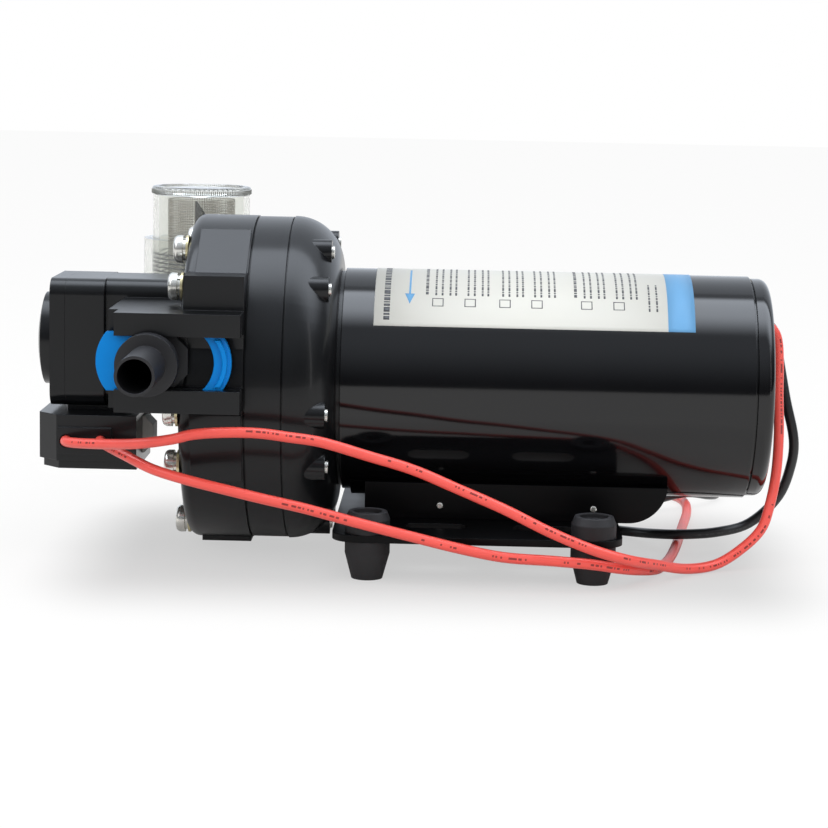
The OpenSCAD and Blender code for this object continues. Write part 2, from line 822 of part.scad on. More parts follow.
module microswitch() {
    z0 = box_z0 + 0.8;
    h = box_h - box_wall - 0.8;
    x0 = box_x1 - 15;
    l = 15 + micro_out;
    cut = 3;
    color("#6f706c") translate([x0, 0, z0]) rotate([90, 0, 0]) linear_extrude(micro_t)
        polygon([[0, 0], [l - cut, 0], [l, cut], [l, h - cut], [l - cut, h], [0, h]]);
}

module pressure_diaphragm() {
    color("#2e2e2e") translate([x_boss0, 0, port_z]) rotate([0, 90, 0])
        cylinder(d = press_rubber_d, h = rubber_t);
}

module pressure_plunger() {
    color("#e0ddd2") translate([x_boss0 - 0.1, 0, port_z]) rotate([0, -90, 0]) {
        cylinder(d = plunger_d, h = plunger_t);
        cylinder(d = stem_d, h = housing_l + cover_l - plunger_travel - gap);
    }
}

module pressure_spring() {
    color("silver") translate([x_housing0, 0, port_z]) rotate([0, 90, 0])
        coil_spring(11, 1.2, housing_l - plunger_t - 0.1, 4);
}

// Port fittings and clips

// Oblong flange with cut corners, which the clip rails keep from turning
module flange_outline() {
    long = flange_half_l - flange_cut;
    high = flange_half_h - flange_cut;
    polygon([
        [flange_half_l, -high], [flange_half_l, high], [long, flange_half_h], [-long, flange_half_h],
        [-flange_half_l, high], [-flange_half_l, -high], [-long, -flange_half_h], [long, -flange_half_h]
    ]);
}

// Stub that seats in a port socket, with its flange, clip neck and collar
module port_stub(l_collar) {
    flange_z = socket_y + 0.2;
    difference() {
        union() {
            translate([0, 0, socket_y - spigot_in]) cylinder(r = socket_r - gap, h = spigot_in + 0.3);
            translate([0, 0, flange_z]) linear_extrude(flange_t) flange_outline();
            translate([0, 0, flange_z]) cylinder(d = neck_d, h = flange_t + neck_l + 1);
            translate([0, 0, flange_z + flange_t + neck_l]) cylinder(d = collar_d, h = l_collar);
        }
        translate([0, 0, socket_y - spigot_in / 2])
            ring(2 * socket_r, 2 * (socket_r - 2 * o_ring_r - 2 * run), 2 * o_ring_r + 0.2);
    }
}

module port_o_ring() {
    along_port() translate([0, 0, socket_y - spigot_in / 2 + o_ring_r + 0.1]) rotate_extrude()
        translate([socket_r - run - o_ring_r, 0]) circle(o_ring_r);
}

module outlet_fitting() {
    color("#242426") along_port() difference() {
        union() {
            port_stub(collar_l);
            translate([0, 0, tail_y0 - 0.5]) cylinder(d = tail_d, h = tail_l + 0.5);
        }
        cylinder(d = tail_bore, h = 3 * rail_y);
    }
}

module outlet_o_ring() {
    color("#303030") port_o_ring();
}

// Outline of the clip: a finger lobe in front of the rails, and the plate that runs in their grooves
module clip_outline() {
    intersection() {
        translate([-clip_left, -lobe_half_h]) square([clip_left, 2 * lobe_half_h]);
        translate([clip_edge_r - clip_left, 0]) circle(clip_edge_r);
    }
    intersection() {
        translate([rail_x0 - port_x + 0.2, -clip_half_h]) square([2 * clip_right, 2 * clip_half_h]);
        translate([clip_right - clip_edge_r, 0]) union() {
            circle(clip_edge_r);
            translate([-2 * clip_edge_r, -clip_edge_r]) square([2 * clip_edge_r, 2 * clip_edge_r]);
        }
    }
}

// Sliding clip with a keyhole: the narrow end holds the fitting, the wide end lets it go
module clip() {
    rib_h = 1.8;
    translate([port_x, -clip_y, port_z]) rotate([90, 0, 0]) {
        linear_extrude(clip_t) difference() {
            clip_outline();
            translate([clip_travel, 0]) circle(clip_wide_r);
            circle(clip_narrow_r);
        }
        linear_extrude(clip_t + rib_h) intersection() {
            translate([clip_right / 2, 1 - half_gap]) square([clip_right / 2, rail_gap - 2]);
            translate([clip_right - clip_edge_r, 0]) difference() {
                circle(clip_edge_r - 1.2);
                circle(clip_edge_r - 2.6);
            }
        }
    }
}

module outlet_clip() {
    color("#0078cc") clip();
}

module inlet_clip() {
    color("#0078cc") on_side(1) clip();
}

// Inlet strainer

module strainer_body() {
    barrel_h = collar_top - strainer_z0;
    cavity_d = bowl_d + 2 * gap;
    color("#c9d2d4", 0.6) difference() {
        union() {
            on_side(1) along_port() port_stub(strainer_y - tail_y0 + collar_l);
            translate([port_x, strainer_y, strainer_z0]) cylinder(d = strainer_d, h = barrel_h);
            translate([port_x, strainer_y, port_z]) rotate([-90, 0, 0])
                cylinder(d = tail_d, h = strainer_d / 2 + tail_l);
            translate([port_x, strainer_y, port_z]) rotate([-90, 0, 0])
                cylinder(d = collar_d, h = strainer_d / 2 + 3);
        }
        translate([port_x, strainer_y, ledge_z]) cylinder(d = cavity_d, h = barrel_h);
        translate([port_x, strainer_y, strainer_z0 + 3]) cylinder(d = cavity_d - 6, h = barrel_h);
        on_side(1) along_port() cylinder(d = tail_bore, h = strainer_y);
        translate([port_x, strainer_y, port_z]) rotate([-90, 0, 0])
            cylinder(d = tail_bore, h = strainer_d + tail_l);
    }
}

module inlet_o_ring() {
    color("#303030") on_side(1) port_o_ring();
}

module strainer_bowl() {
    rim_r = bowl_d / 2 + 0.9;
    rim_h = 3;
    color("#dde6e8", 0.5) translate([port_x, strainer_y, 0]) difference() {
        union() {
            translate([0, 0, bowl_z0]) cylinder(d = bowl_d, h = axis_h + bowl_top - bowl_z0 - eps);
            translate([0, 0, axis_h + bowl_top - rim_h]) domed_disc(rim_r, rim_h, 1);
        }
        translate([0, 0, bowl_z0 - eps])
            cylinder(d = bowl_d - 2 * bowl_wall, h = axis_h + bowl_top - bowl_z0 + eps - bowl_wall);
        around([for (k = [1:knurl_count]) 360 * k / knurl_count], rim_r + 0.4)
            translate([0, 0, axis_h + bowl_top - rim_h - eps]) cylinder(r = 0.9, h = rim_h + 2 * eps);
    }
}

module strainer_screen() {
    z0 = strainer_z0 + 3;
    h = axis_h + bowl_top - bowl_wall - 2.5 - z0;
    color("#b9bcbd") translate([port_x, strainer_y, z0]) difference() {
        cylinder(d = screen_d, h = h);
        translate([0, 0, -eps]) cylinder(d = screen_d - 0.8, h = h + eps - 0.6);
    }
}

module strainer_gasket() {
    color("#303030") translate([port_x, strainer_y, ledge_z]) ring(bowl_d, bowl_d - 5, gasket_t);
}

// Base

module base_plate() {
    color("#1c1c1e") difference() {
        translate([0, 0, plate_top - lip_h]) linear_extrude(lip_h)
            round_rect(plate_x0, -plate_half_w, plate_x1, plate_half_w, 8);
        translate([0, 0, plate_top - lip_h - eps]) linear_extrude(lip_h - sheet + eps) difference() {
            round_rect(plate_x0 + sheet, -plate_half_w + sheet, plate_x1 - sheet, plate_half_w - sheet, 6);
            for (x = [-hole_dx / 2, hole_dx / 2], y = [-hole_dy / 2, hole_dy / 2])
                translate([x, y]) circle(d = foot_d + 2);
        }
        for (x = [-hole_dx / 2, hole_dx / 2], y = [-hole_dy / 2, hole_dy / 2]) translate([x, y, 0])
            cylinder(d = foot_neck_d + 0.2, h = 2 * plate_top);
        for (x = vent_x, s = [-1, 1]) translate([x, s * (saddle_half_w + vent_out), 0])
            linear_extrude(2 * plate_top)
            round_rect(-vent_l / 2, -vent_w / 2, vent_l / 2, vent_w / 2, vent_w / 2 - 0.5);
        translate([opening_x0, opening_edge - saddle_half_w, 0]) linear_extrude(2 * plate_top)
            round_rect(0, 0, opening_l, 2 * (saddle_half_w - opening_edge), opening_edge);
    }
}

module motor_saddle() {
    length = saddle_x1 - saddle_x0;
    color("#161618") difference() {
        along_body(saddle_x0, saddle_x1)
            translate([-saddle_half_w, plate_top]) square([2 * saddle_half_w, saddle_top - plate_top]);
        along_x(saddle_x0 - eps) cylinder(d = can_d + 2 * fit, h = length + 2 * eps);
        difference() {
            along_body(saddle_x0 - eps, saddle_x1 + eps) translate([-saddle_half_w + sheet, plate_top - eps])
                square([2 * (saddle_half_w - sheet), saddle_top - plate_top]);
            along_x(saddle_x0 - 2 * eps) cylinder(d = can_d + 4 * sheet, h = length + 4 * eps);
        }
        difference() {
            translate([saddle_x0 - eps, -2 * saddle_half_w, plate_top - eps])
                cube([tongue_l + eps, 4 * saddle_half_w, saddle_top]);
            along_x(saddle_x0 - 2 * eps) cylinder(d = can_d + 2 * sheet, h = tongue_l + 4 * eps);
        }
        difference() {
            translate([saddle_x1 - saddle_round, -2 * saddle_half_w, plate_top - eps])
                cube([saddle_round + eps, 4 * saddle_half_w, saddle_round + eps]);
            translate([saddle_x1 - saddle_round, 0, plate_top + saddle_round]) rotate([90, 0, 0])
                cylinder(r = saddle_round, h = 6 * saddle_half_w, center = true);
        }
    }
}

module saddle_rivets() {
    color("silver") for (x = rivet_x, s = [-1, 1]) translate([x, s * saddle_half_w, plate_top + rivet_rise])
        rotate([-90 * s, 0, 0]) domed_disc(rivet_r, 0.8, 0.5);
}

module rubber_foot(sx, sy) {
    sheet_z = plate_top - lip_h;
    color("#242424") translate([sx * hole_dx / 2, sy * hole_dy / 2, 0]) rotate_extrude() polygon([
        [hole_d / 2, 0], [foot_low_d / 2, 0], [foot_d / 2, foot_taper_h], [foot_d / 2, sheet_z],
        [foot_neck_d / 2, sheet_z], [foot_neck_d / 2, plate_top], [foot_d / 2, plate_top],
        [foot_d / 2, foot_top - foot_shoulder], [foot_neck_d / 2, foot_top], [foot_seat_d / 2, foot_top],
        [foot_seat_d / 2, foot_top - foot_seat_h], [hole_d / 2, foot_top - foot_seat_h]
    ]);
}

module foot_front_left() {
    rubber_foot(-1, -1);
}

module foot_front_right() {
    rubber_foot(1, -1);
}

module foot_rear_left() {
    rubber_foot(-1, 1);
}

module foot_rear_right() {
    rubber_foot(1, 1);
}

// Wires

module motor_grommets() {
    color("#2a2a2a") for (y = grommet_y) translate([wire_exit_x - 1.5, y, grommet_z]) rotate([0, 90, 0])
        ring(grommet_d, wire_d + 0.2, 1.5);
}

// Routes of the three wires, from the switch box or the motor to their far ends
link_route = [
    [link_exit_x, box_y0 + 1.2, switch_exit_z], [-132, -29, 37.5], [-128.5, -33.5, 37.8], [-118, -42, 39],
    [-106, -52, 41], [-95, -58, 43.5], [-88, -60, 45.5], [-78, -61, 46.5], [-68, -61, 46.5], [-59, -61, 45.5],
    [-49, -60, 44], [-35, -59, 40], [-21, -59, 36], [-7, -60, 30.5], [7, -62, 25], [21, -63, 18.5],
    [34, -62, 13.2], [45, -57.5, 9.4], [55, -46.5, 5.8], [65, -35, 2.4], [75, -27, 2.3], [83, -23, 6.3],
    [90, -19.5, 12.5], [93, -16, 20], [95, -13, 30], [96, -8, 42], [96, -3, 54], [96.2, 1, 64],
    [96, 3.5, 70], [95, 4, 73.4], [92.8, 4, 75.8], [wire_exit_x, grommet_y[0], grommet_z]
];
red_route = [
    [supply_exit_x, box_y0 + 1.2, switch_exit_z], [-121, -29, 37.6], [-117, -34, 36.6], [-111, -40, 35],
    [-102, -48, 32.5], [-91, -54, 30.5], [-79, -58, 28.5], [-66, -60, 26], [-54, -60, 23.5], [-38, -60, 19.5],
    [-21, -60, 15.5], [-7, -61, 12.5], [7, -61, 10], [22, -60, 9], [34, -59, 8], [43, -54.5, 6],
    [50, -45.5, 3.8], [56, -34.5, 2], [60, -22, 1.7], [63, -8, 1.7], [66, 10, 1.7], [70, 38, 1.7],
    [74, 66, 1.7], [75, 86, 1.7], [72, 100, 1.7], [63, 109, 1.7], [50, 112, 1.7], [38, 112, 1.7]
];
black_route = [
    [wire_exit_x, grommet_y[1], grommet_z], [93, 14, 75.8], [96, 13.5, 72.5], [97.6, 12, 64], [100, 9, 51],
    [103, 8, 38], [102.5, 8.5, 29], [99, 11, 18], [90, 13, 8.5], [79, 9, 6], [67, 7, 5.3], [58, 14, 4],
    [51, 26, 2.2], [41, 33, 1.7], [28, 36, 1.7], [20, 43, 1.7], [19, 53, 1.7], [26, 63, 1.7], [40, 70, 1.7],
    [56, 75, 2.5], [74, 84, 5.6], [85, 96, 3], [88, 107, 1.7], [83, 117, 1.7], [72, 122, 1.7], [60, 122, 1.7]
];

module red_link_wire() {
    color("#f0524f") swept_tube(link_route, wire_d, 8, [0, 0, 1]);
}

module red_supply_lead() {
    color("#f0524f") swept_tube(red_route, wire_d, 8, [0, 0, 1]);
}

module black_supply_lead() {
    color("#1c1c1c") swept_tube(black_route, wire_d, 8, [0, 1, 0]);
}

module bare_lead_ends() {
    color("#c98a55") for (p = [red_route[len(red_route) - 1], black_route[len(black_route) - 1]])
        translate(p) rotate([0, -90, 0]) cylinder(d = 2, h = 8);
}

motor_can();
motor_end_cap();
motor_magnets();
through_bolts();
brush_holder();
carbon_brushes();
brush_springs();
rear_bush();
front_bearing_outer();
front_bearing_inner();
motor_shaft();
armature_core();
armature_windings();
commutator();
eccentric_hub();
cam_bearing_inner();
cam_bearing_outer();
wobble_plate();
pistons();
piston_screws();
diaphragm();
valve_plate();
inlet_valves();
outlet_valve();
pump_head();
middle_ring();
bell_housing();
head_screws();
spring_washers();
flat_washers();
switch_housing();
switch_cover();
switch_box();
switch_box_lid();
microswitch();
pressure_diaphragm();
pressure_plunger();
pressure_spring();
outlet_fitting();
outlet_o_ring();
outlet_clip();
inlet_clip();
strainer_body();
inlet_o_ring();
strainer_bowl();
strainer_screen();
strainer_gasket();
base_plate();
motor_saddle();
saddle_rivets();
foot_front_left();
foot_front_right();
foot_rear_left();
foot_rear_right();
motor_grommets();
red_link_wire();
red_supply_lead();
black_supply_lead();
bare_lead_ends();
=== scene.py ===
import json
import math

import bpy
from mathutils import Matrix, Vector


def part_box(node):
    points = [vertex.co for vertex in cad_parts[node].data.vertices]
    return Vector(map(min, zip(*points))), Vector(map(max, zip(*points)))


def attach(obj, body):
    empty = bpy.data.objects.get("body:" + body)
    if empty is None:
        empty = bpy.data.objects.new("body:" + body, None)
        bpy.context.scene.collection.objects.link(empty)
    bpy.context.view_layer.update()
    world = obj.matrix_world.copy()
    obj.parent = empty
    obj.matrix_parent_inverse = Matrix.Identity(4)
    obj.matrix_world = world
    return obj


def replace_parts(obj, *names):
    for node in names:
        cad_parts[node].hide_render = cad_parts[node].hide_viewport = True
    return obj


bl_info = {
    "name": "Caravan Water Pump Looks",
    "version": (1, 0, 0),
    "blender": (4, 5, 0),
    "location": "View3D > Sidebar > Water Pump",
    "description": "Finishes, wires, label, strainer details and studio for the water pump",
    "category": "Object",
}

MM = 0.001
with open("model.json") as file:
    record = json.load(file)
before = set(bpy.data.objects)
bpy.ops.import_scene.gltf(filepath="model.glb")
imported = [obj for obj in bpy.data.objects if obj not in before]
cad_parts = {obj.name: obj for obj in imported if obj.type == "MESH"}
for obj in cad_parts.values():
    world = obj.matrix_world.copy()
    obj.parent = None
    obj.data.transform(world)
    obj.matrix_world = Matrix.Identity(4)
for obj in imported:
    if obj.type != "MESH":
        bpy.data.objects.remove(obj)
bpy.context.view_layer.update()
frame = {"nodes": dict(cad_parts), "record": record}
PUMP = "pump"

# Places of the solids that the added pieces fit
CAN_LOW, CAN_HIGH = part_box("motor_can")
CAN_R = (CAN_HIGH.z - CAN_LOW.z) / 2
AXIS_Z = (CAN_HIGH.z + CAN_LOW.z) / 2
SCREEN_LOW, SCREEN_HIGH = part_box("strainer_screen")
BOWL_LOW, BOWL_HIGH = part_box("strainer_bowl")
BOWL_R = 17.25 * MM
BODY_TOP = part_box("strainer_body")[1].z

# Size of the clouds in a moulded surface's colour and gloss
MOTTLE = 14 * MM
# Spacing of the wave texture's bands at a scale of 1
WAVE_SPACING = 0.314
# Print on a wire: its place round the wire and half its width, in turns
PRINT_TURN, PRINT_HALF = 0.21, 0.032

# The label's inks as material numbers, and heights over the motor's can in millimetres
FILM, BAND, LINE = range(3)
BACK_LIFT, FILM_LIFT, INK_LIFT = 0.02, 0.12, 0.14
# Along the motor in millimetres: the blue band and the columns of empty squares
BAND_WIDTH = 8.5
SQUARE_COLUMNS = (-15, -4.8, 6.2, 16.3, 32, 42.2)
# Broken lines over each square: offset in millimetres and reach round the can in degrees
SQUARE_LINES = ((-0.9, 52), (1.1, 46), (3.6, 50), (5.4, 42))
# Marks and gaps of a broken line, in degrees round the can
LINE_MARKS, LINE_GAP = (2.2, 1.2, 3.1, 1.6, 0.9), 0.7

# The photograph's camera: sensor in millimetres, focal length and frame in pixels, places in millimetres
SENSOR, FOCAL, PHOTO = 36, 2463, 828
CAMERA_PLACE, CAMERA_AIM, CAMERA_ROLL = (-5.95, -798, 161), (-22.3, 0, 44.6), math.radians(1.15)

# Lamps: name, place, aim, width and height in metres, watts, and whether gloss mirrors it
LAMPS = (
    ("top_softbox", (0.0, -0.25, 1.2), (0, 0, 0.05), 1.2, 0.8, 2.5, False),
    ("front_fill", (0.1, -1.3, 0.55), (0, 0, 0.05), 1.4, 0.8, 4, False),
    ("side_softbox", (-1.0, -0.6, 0.75), (-0.08, 0, 0.05), 0.5, 0.8, 2, True),
    ("right_card", (1.0, -0.55, 0.4), (-0.05, 0, 0.05), 0.1, 0.9, 0.5, True),
)
# The sky's light on the object
SKY = 0.85
WHITE = (1, 1, 1, 1)
# What gloss mirrors, by the direction's axis: from, to, and the strength at each
MIRRORED = {
    "room": ("Z", 0.0, 0.8, 0.06, 0.68),
    "behind": ("Y", 0.38, 0.5, 0, 1.1),
    "box": ("Z", 0.3, 0.8, 0, 5.6),
    "box_front": ("Y", -0.6, -0.05, 0, 1),
    "box_back": ("Y", 0.28, 0.4, 1, 0),
}

# The floor's half size, and its painted soft shadow: middle, half size and fade of the edges, in metres
FLOOR_HALF = 4.0
SHADOW_CENTRE, SHADOW_HALF, SHADOW_FADE = (-0.0145, -0.0095, 0), (0.0925, 0.0395, 0), (0.039, 0.072)
# How bright the painted soft shadow is in the middle, and its share over the paper's own lit shadows
SHADOW_GREY, SHADOW_SHARE = 0.68, 0.8

# Routes of the wires in millimetres, the same points as the solids'
LINK_ROUTE = [
    (-132.4, -23.8, 37.2), (-132, -29, 37.5), (-128.5, -33.5, 37.8), (-118, -42, 39), (-106, -52, 41),
    (-95, -58, 43.5), (-88, -60, 45.5), (-78, -61, 46.5), (-68, -61, 46.5), (-59, -61, 45.5),
    (-49, -60, 44), (-35, -59, 40), (-21, -59, 36), (-7, -60, 30.5), (7, -62, 25), (21, -63, 18.5),
    (34, -62, 13.2), (45, -57.5, 9.4), (55, -46.5, 5.8), (65, -35, 2.4), (75, -27, 2.3), (83, -23, 6.3),
    (90, -19.5, 12.5), (93, -16, 20), (95, -13, 30), (96, -8, 42), (96, -3, 54), (96.2, 1, 64),
    (96, 3.5, 70), (95, 4, 73.4), (92.8, 4, 75.8), (89.4, 4, 76.6),
]
RED_ROUTE = [
    (-121.3, -23.8, 37.2), (-121, -29, 37.6), (-117, -34, 36.6), (-111, -40, 35), (-102, -48, 32.5),
    (-91, -54, 30.5), (-79, -58, 28.5), (-66, -60, 26), (-54, -60, 23.5), (-38, -60, 19.5),
    (-21, -60, 15.5), (-7, -61, 12.5), (7, -61, 10), (22, -60, 9), (34, -59, 8), (43, -54.5, 6),
    (50, -45.5, 3.8), (56, -34.5, 2), (60, -22, 1.7), (63, -8, 1.7), (66, 10, 1.7), (70, 38, 1.7),
    (74, 66, 1.7), (75, 86, 1.7), (72, 100, 1.7), (63, 109, 1.7), (50, 112, 1.7), (38, 112, 1.7),
]
BLACK_ROUTE = [
    (89.4, 14, 76.6), (93, 14, 75.8), (96, 13.5, 72.5), (97.6, 12, 64), (100, 9, 51), (103, 8, 38),
    (102.5, 8.5, 29), (99, 11, 18), (90, 13, 8.5), (79, 9, 6), (67, 7, 5.3), (58, 14, 4), (51, 26, 2.2),
    (41, 33, 1.7), (28, 36, 1.7), (20, 43, 1.7), (19, 53, 1.7), (26, 63, 1.7), (40, 70, 1.7),
    (56, 75, 2.5), (74, 84, 5.6), (85, 96, 3), (88, 107, 1.7), (83, 117, 1.7), (72, 122, 1.7),
    (60, 122, 1.7),
]


def linear(hexa):
    """Linear colour of an sRGB hex value."""
    parts = [int(hexa[i:i + 2], 16) / 255 for i in (1, 3, 5)]
    return [c / 12.92 if c <= 0.04045 else ((c + 0.055) / 1.055) ** 2.4 for c in parts]


class PumpColours(bpy.types.PropertyGroup):
    """Colours of the pump's finishes"""

    nylon: bpy.props.FloatVectorProperty(
        name="Nylon", description="Moulded housings", subtype="COLOR", default=linear("#101113"))
    enamel: bpy.props.FloatVectorProperty(
        name="Enamel", description="Motor can and cap", subtype="COLOR", default=linear("#0B0B0D"))
    rubber: bpy.props.FloatVectorProperty(
        name="Rubber", description="Feet and seals", subtype="COLOR", default=linear("#1A191B"))
    clip: bpy.props.FloatVectorProperty(
        name="Clip", description="Sliding port clips", subtype="COLOR", default=linear("#0085DA"))
    red_wire: bpy.props.FloatVectorProperty(
        name="Red wire", description="Red insulation", subtype="COLOR", default=linear("#FF5A50"))
    black_wire: bpy.props.FloatVectorProperty(
        name="Black wire", description="Black insulation", subtype="COLOR", default=linear("#1A1A1C"))
    label: bpy.props.FloatVectorProperty(
        name="Label", description="Label film", subtype="COLOR", default=linear("#DEDFDA"))
    label_band: bpy.props.FloatVectorProperty(
        name="Label band", description="Band and arrow on the label", subtype="COLOR",
        default=linear("#6CA6D6"))


class PumpSizes(bpy.types.PropertyGroup):
    """Sizes of the pump's added pieces"""

    wire: bpy.props.FloatProperty(
        name="Wire", description="Outside of a wire's insulation", unit="LENGTH", default=3.3 * MM)
    strand: bpy.props.FloatProperty(
        name="Strand", description="One copper strand", unit="LENGTH", default=0.62 * MM)
    bare: bpy.props.FloatProperty(
        name="Bare end", description="Stripped length of a lead", unit="LENGTH", default=8 * MM)
    label_x0: bpy.props.FloatProperty(
        name="Label start", description="Front edge of the label", unit="LENGTH", default=-35 * MM)
    label_x1: bpy.props.FloatProperty(
        name="Label end", description="Rear edge of the label", unit="LENGTH", default=66 * MM)
    label_low: bpy.props.FloatProperty(
        name="Label lower edge", description="Angle above the motor's side", unit="ROTATION",
        default=math.radians(35))
    label_high: bpy.props.FloatProperty(
        name="Label upper edge", description="Angle over the motor's top", unit="ROTATION",
        default=math.radians(128))
    mesh_pitch: bpy.props.FloatProperty(
        name="Screen pitch", description="Spacing of the screen's wires", unit="LENGTH", default=0.9 * MM)
    mesh_wire: bpy.props.FloatProperty(
        name="Screen wire", description="Thickness of the screen's wires", unit="LENGTH", default=0.32 * MM)
    knurl_pitch: bpy.props.FloatProperty(
        name="Knurl pitch", description="Spacing of the ribs on the bowl's rim", unit="LENGTH",
        default=0.75 * MM)
    thread_lead: bpy.props.FloatProperty(
        name="Thread lead", description="Rise of the bowl in a turn of its two-start thread", unit="LENGTH",
        default=3 * MM)


def sizes():
    return bpy.context.scene.pump_sizes


def colours():
    return bpy.context.scene.pump_colours


# Materials

def node(tree, kind, inputs=None, **settings):
    """Adds a node; an input takes a value, or the socket that is linked to it."""
    made = tree.nodes.new(kind)
    for name, value in settings.items():
        setattr(made, name, value)
    for name, value in (inputs or {}).items():
        if isinstance(value, bpy.types.NodeSocket):
            tree.links.new(value, made.inputs[name])
        else:
            made.inputs[name].default_value = value
    return made


def surface(name, **shader):
    """New material with one principled shader, whose inputs take values; returns it and its parts."""
    material = bpy.data.materials.new(name)
    material.use_nodes = True
    tree = material.node_tree
    tree.nodes.clear()
    place = node(tree, "ShaderNodeTexCoord")
    bsdf = node(tree, "ShaderNodeBsdfPrincipled", {key.replace("_", " "): v for key, v in shader.items()})
    node(tree, "ShaderNodeOutputMaterial", {"Surface": bsdf.outputs["BSDF"]})
    return material, tree, place, bsdf


def rgba(colour):
    return (*colour, 1.0)


def shade(colour, factor):
    return (*[min(1.0, c * factor) for c in colour], 1.0)


def moulded(name, colour, rough, grain_mm, grain_depth, edge_mm=0.0, spread=0.18, wave=0.0, **shader):
    """A moulded or coated surface: mottled colour and gloss, fine grain, softened edges, slight waves."""
    material, tree, place, bsdf = surface(name, **shader)
    cloud = node(tree, "ShaderNodeTexNoise",
                 {"Vector": place.outputs["Object"], "Scale": 1 / MOTTLE, "Detail": 4})
    tint = node(tree, "ShaderNodeMix",
                {"Factor": cloud.outputs["Fac"], "A": shade(colour, 1 - spread),
                 "B": shade(colour, 1 + spread)}, data_type="RGBA")
    gloss = node(tree, "ShaderNodeMapRange",
                 {"Value": cloud.outputs["Fac"], "To Min": rough * 0.85, "To Max": rough * 1.15})
    grain = node(tree, "ShaderNodeTexNoise",
                 {"Vector": place.outputs["Object"], "Scale": 1 / (grain_mm * MM), "Detail": 2})
    bump = node(tree, "ShaderNodeBump",
                {"Height": grain.outputs["Fac"], "Distance": grain_depth * MM, "Strength": 0.6})
    if edge_mm:
        rounding = node(tree, "ShaderNodeBevel", {"Radius": edge_mm * MM}, samples=6)
        tree.links.new(rounding.outputs["Normal"], bump.inputs["Normal"])
    normal = bump.outputs["Normal"]
    if wave:
        sink = node(tree, "ShaderNodeBump",
                    {"Height": cloud.outputs["Fac"], "Distance": wave * MM, "Normal": normal})
        normal = sink.outputs["Normal"]
    tree.links.new(tint.outputs["Result"], bsdf.inputs["Base Color"])
    tree.links.new(gloss.outputs["Result"], bsdf.inputs["Roughness"])
    tree.links.new(normal, bsdf.inputs["Normal"])
    return material


def glass_filled_nylon():
    # Injection-moulded, satin, with a faint grain, sink marks and soft moulded edges
    return moulded("glass_filled_nylon", colours().nylon, 0.3, 0.8, 0.012, 0.5, wave=0.08,
                   Specular_IOR_Level=0.25, Coat_Weight=0.18, Coat_Roughness=0.1)


def stoved_enamel():
    # Gloss black enamel on drawn steel, with a slight orange peel
    return moulded("stoved_enamel", colours().enamel, 0.105, 2.5, 0.003, 0.4)


def black_powder_coat():
    # Baked powder on bent sheet steel, darker and less glossy than the motor's enamel
    return moulded("black_powder_coat", linear("#040405"), 0.38, 1.2, 0.01, 0.4, Specular_IOR_Level=0.15)


def black_acetal_painted_light():
    # Turned and moulded hose fitting, smoother in colour and duller than the nylon; its paler base is painted
    # light for the overhead light its top catches
    return moulded("black_acetal_painted_light", linear("#1E1E21"), 0.45, 0.6, 0.01, 0.4, 0.1)


def natural_rubber():
    # Moulded and matt, with a dusty bloom
    return moulded("moulded_rubber", colours().rubber, 0.62, 0.6, 0.03, 0.5, 0.3)


def red_silicone():
    # Soft matt valve rubber
    return moulded("red_silicone_rubber", linear("#9A3B2F"), 0.6, 0.6, 0.02)


def blue_acetal():
    # Moulded and slightly waxy, with softened edges
    return moulded("moulded_acetal", colours().clip, 0.32, 0.6, 0.01, 0.6, 0.1, Specular_IOR_Level=0.15)


def zinc_plate():
    # Bright zinc on steel: pale, a little cloudy
    return moulded("bright_zinc_plate", linear("#E2E1DB"), 0.25, 0.7, 0.01, 0.2, 0.12, Metallic=0.85)


def yellow_zinc():
    # Yellow passivated zinc
    return moulded("yellow_zinc_plate", linear("#DDD2A8"), 0.33, 0.7, 0.01, 0.15, 0.15, Metallic=0.8)


def stainless_wire():
    # Drawn stainless wire, dull from weaving
    return moulded("stainless_wire", linear("#B5AEA2"), 0.36, 0.4, 0.004, 0.0, 0.2, Metallic=1.0)


def drawn_copper():
    # Bare or enamelled copper, warm and slightly tarnished
    return moulded("drawn_copper", linear("#C77B45"), 0.3, 0.5, 0.006, 0.0, 0.2, Metallic=1.0)


def sintered_bronze():
    # Porous bearing bronze
    return moulded("sintered_bronze", linear("#A98652"), 0.5, 0.3, 0.02, 0.0, 0.2, Metallic=1.0)


def ferrite():
    # Pressed and ground magnet ceramic
    return moulded("ferrite_ceramic", linear("#3A3A3C"), 0.55, 0.4, 0.02)


def core_steel():
    # Stacked electrical sheet; the sheets' edges show as lines, drawn coarser than real so that they show
    material, tree, place, bsdf = surface("stacked_core_steel", Metallic=1.0, Roughness=0.45)
    sheets = node(tree, "ShaderNodeTexWave",
                  {"Vector": place.outputs["Object"], "Scale": WAVE_SPACING / (0.8 * MM), "Distortion": 0.4},
                  bands_direction="X")
    tint = node(tree, "ShaderNodeMix",
                {"Factor": sheets.outputs["Fac"], "A": rgba(linear("#5A5C60")), "B": rgba(linear("#7E8186"))},
                data_type="RGBA")
    tree.links.new(tint.outputs["Result"], bsdf.inputs["Base Color"])
    return material


def carbon():
    # Pressed carbon, matt with a grey sheen
    return moulded("pressed_carbon", linear("#2B2B2B"), 0.48, 0.3, 0.02)


def paper_laminate():
    # Brown resin-bonded paper board
    return moulded("resin_paper_board", linear("#5A4632"), 0.5, 0.8, 0.02)


def natural_acetal():
    # Off-white moulded plastic inside the pump
    return moulded("natural_acetal", linear("#D8D4C8"), 0.42, 0.8, 0.01, 0.3)


def grey_plastic():
    # Grey moulded switch body
    return moulded("grey_polyester", linear("#C9C8C2"), 0.45, 0.7, 0.015, 0.3)


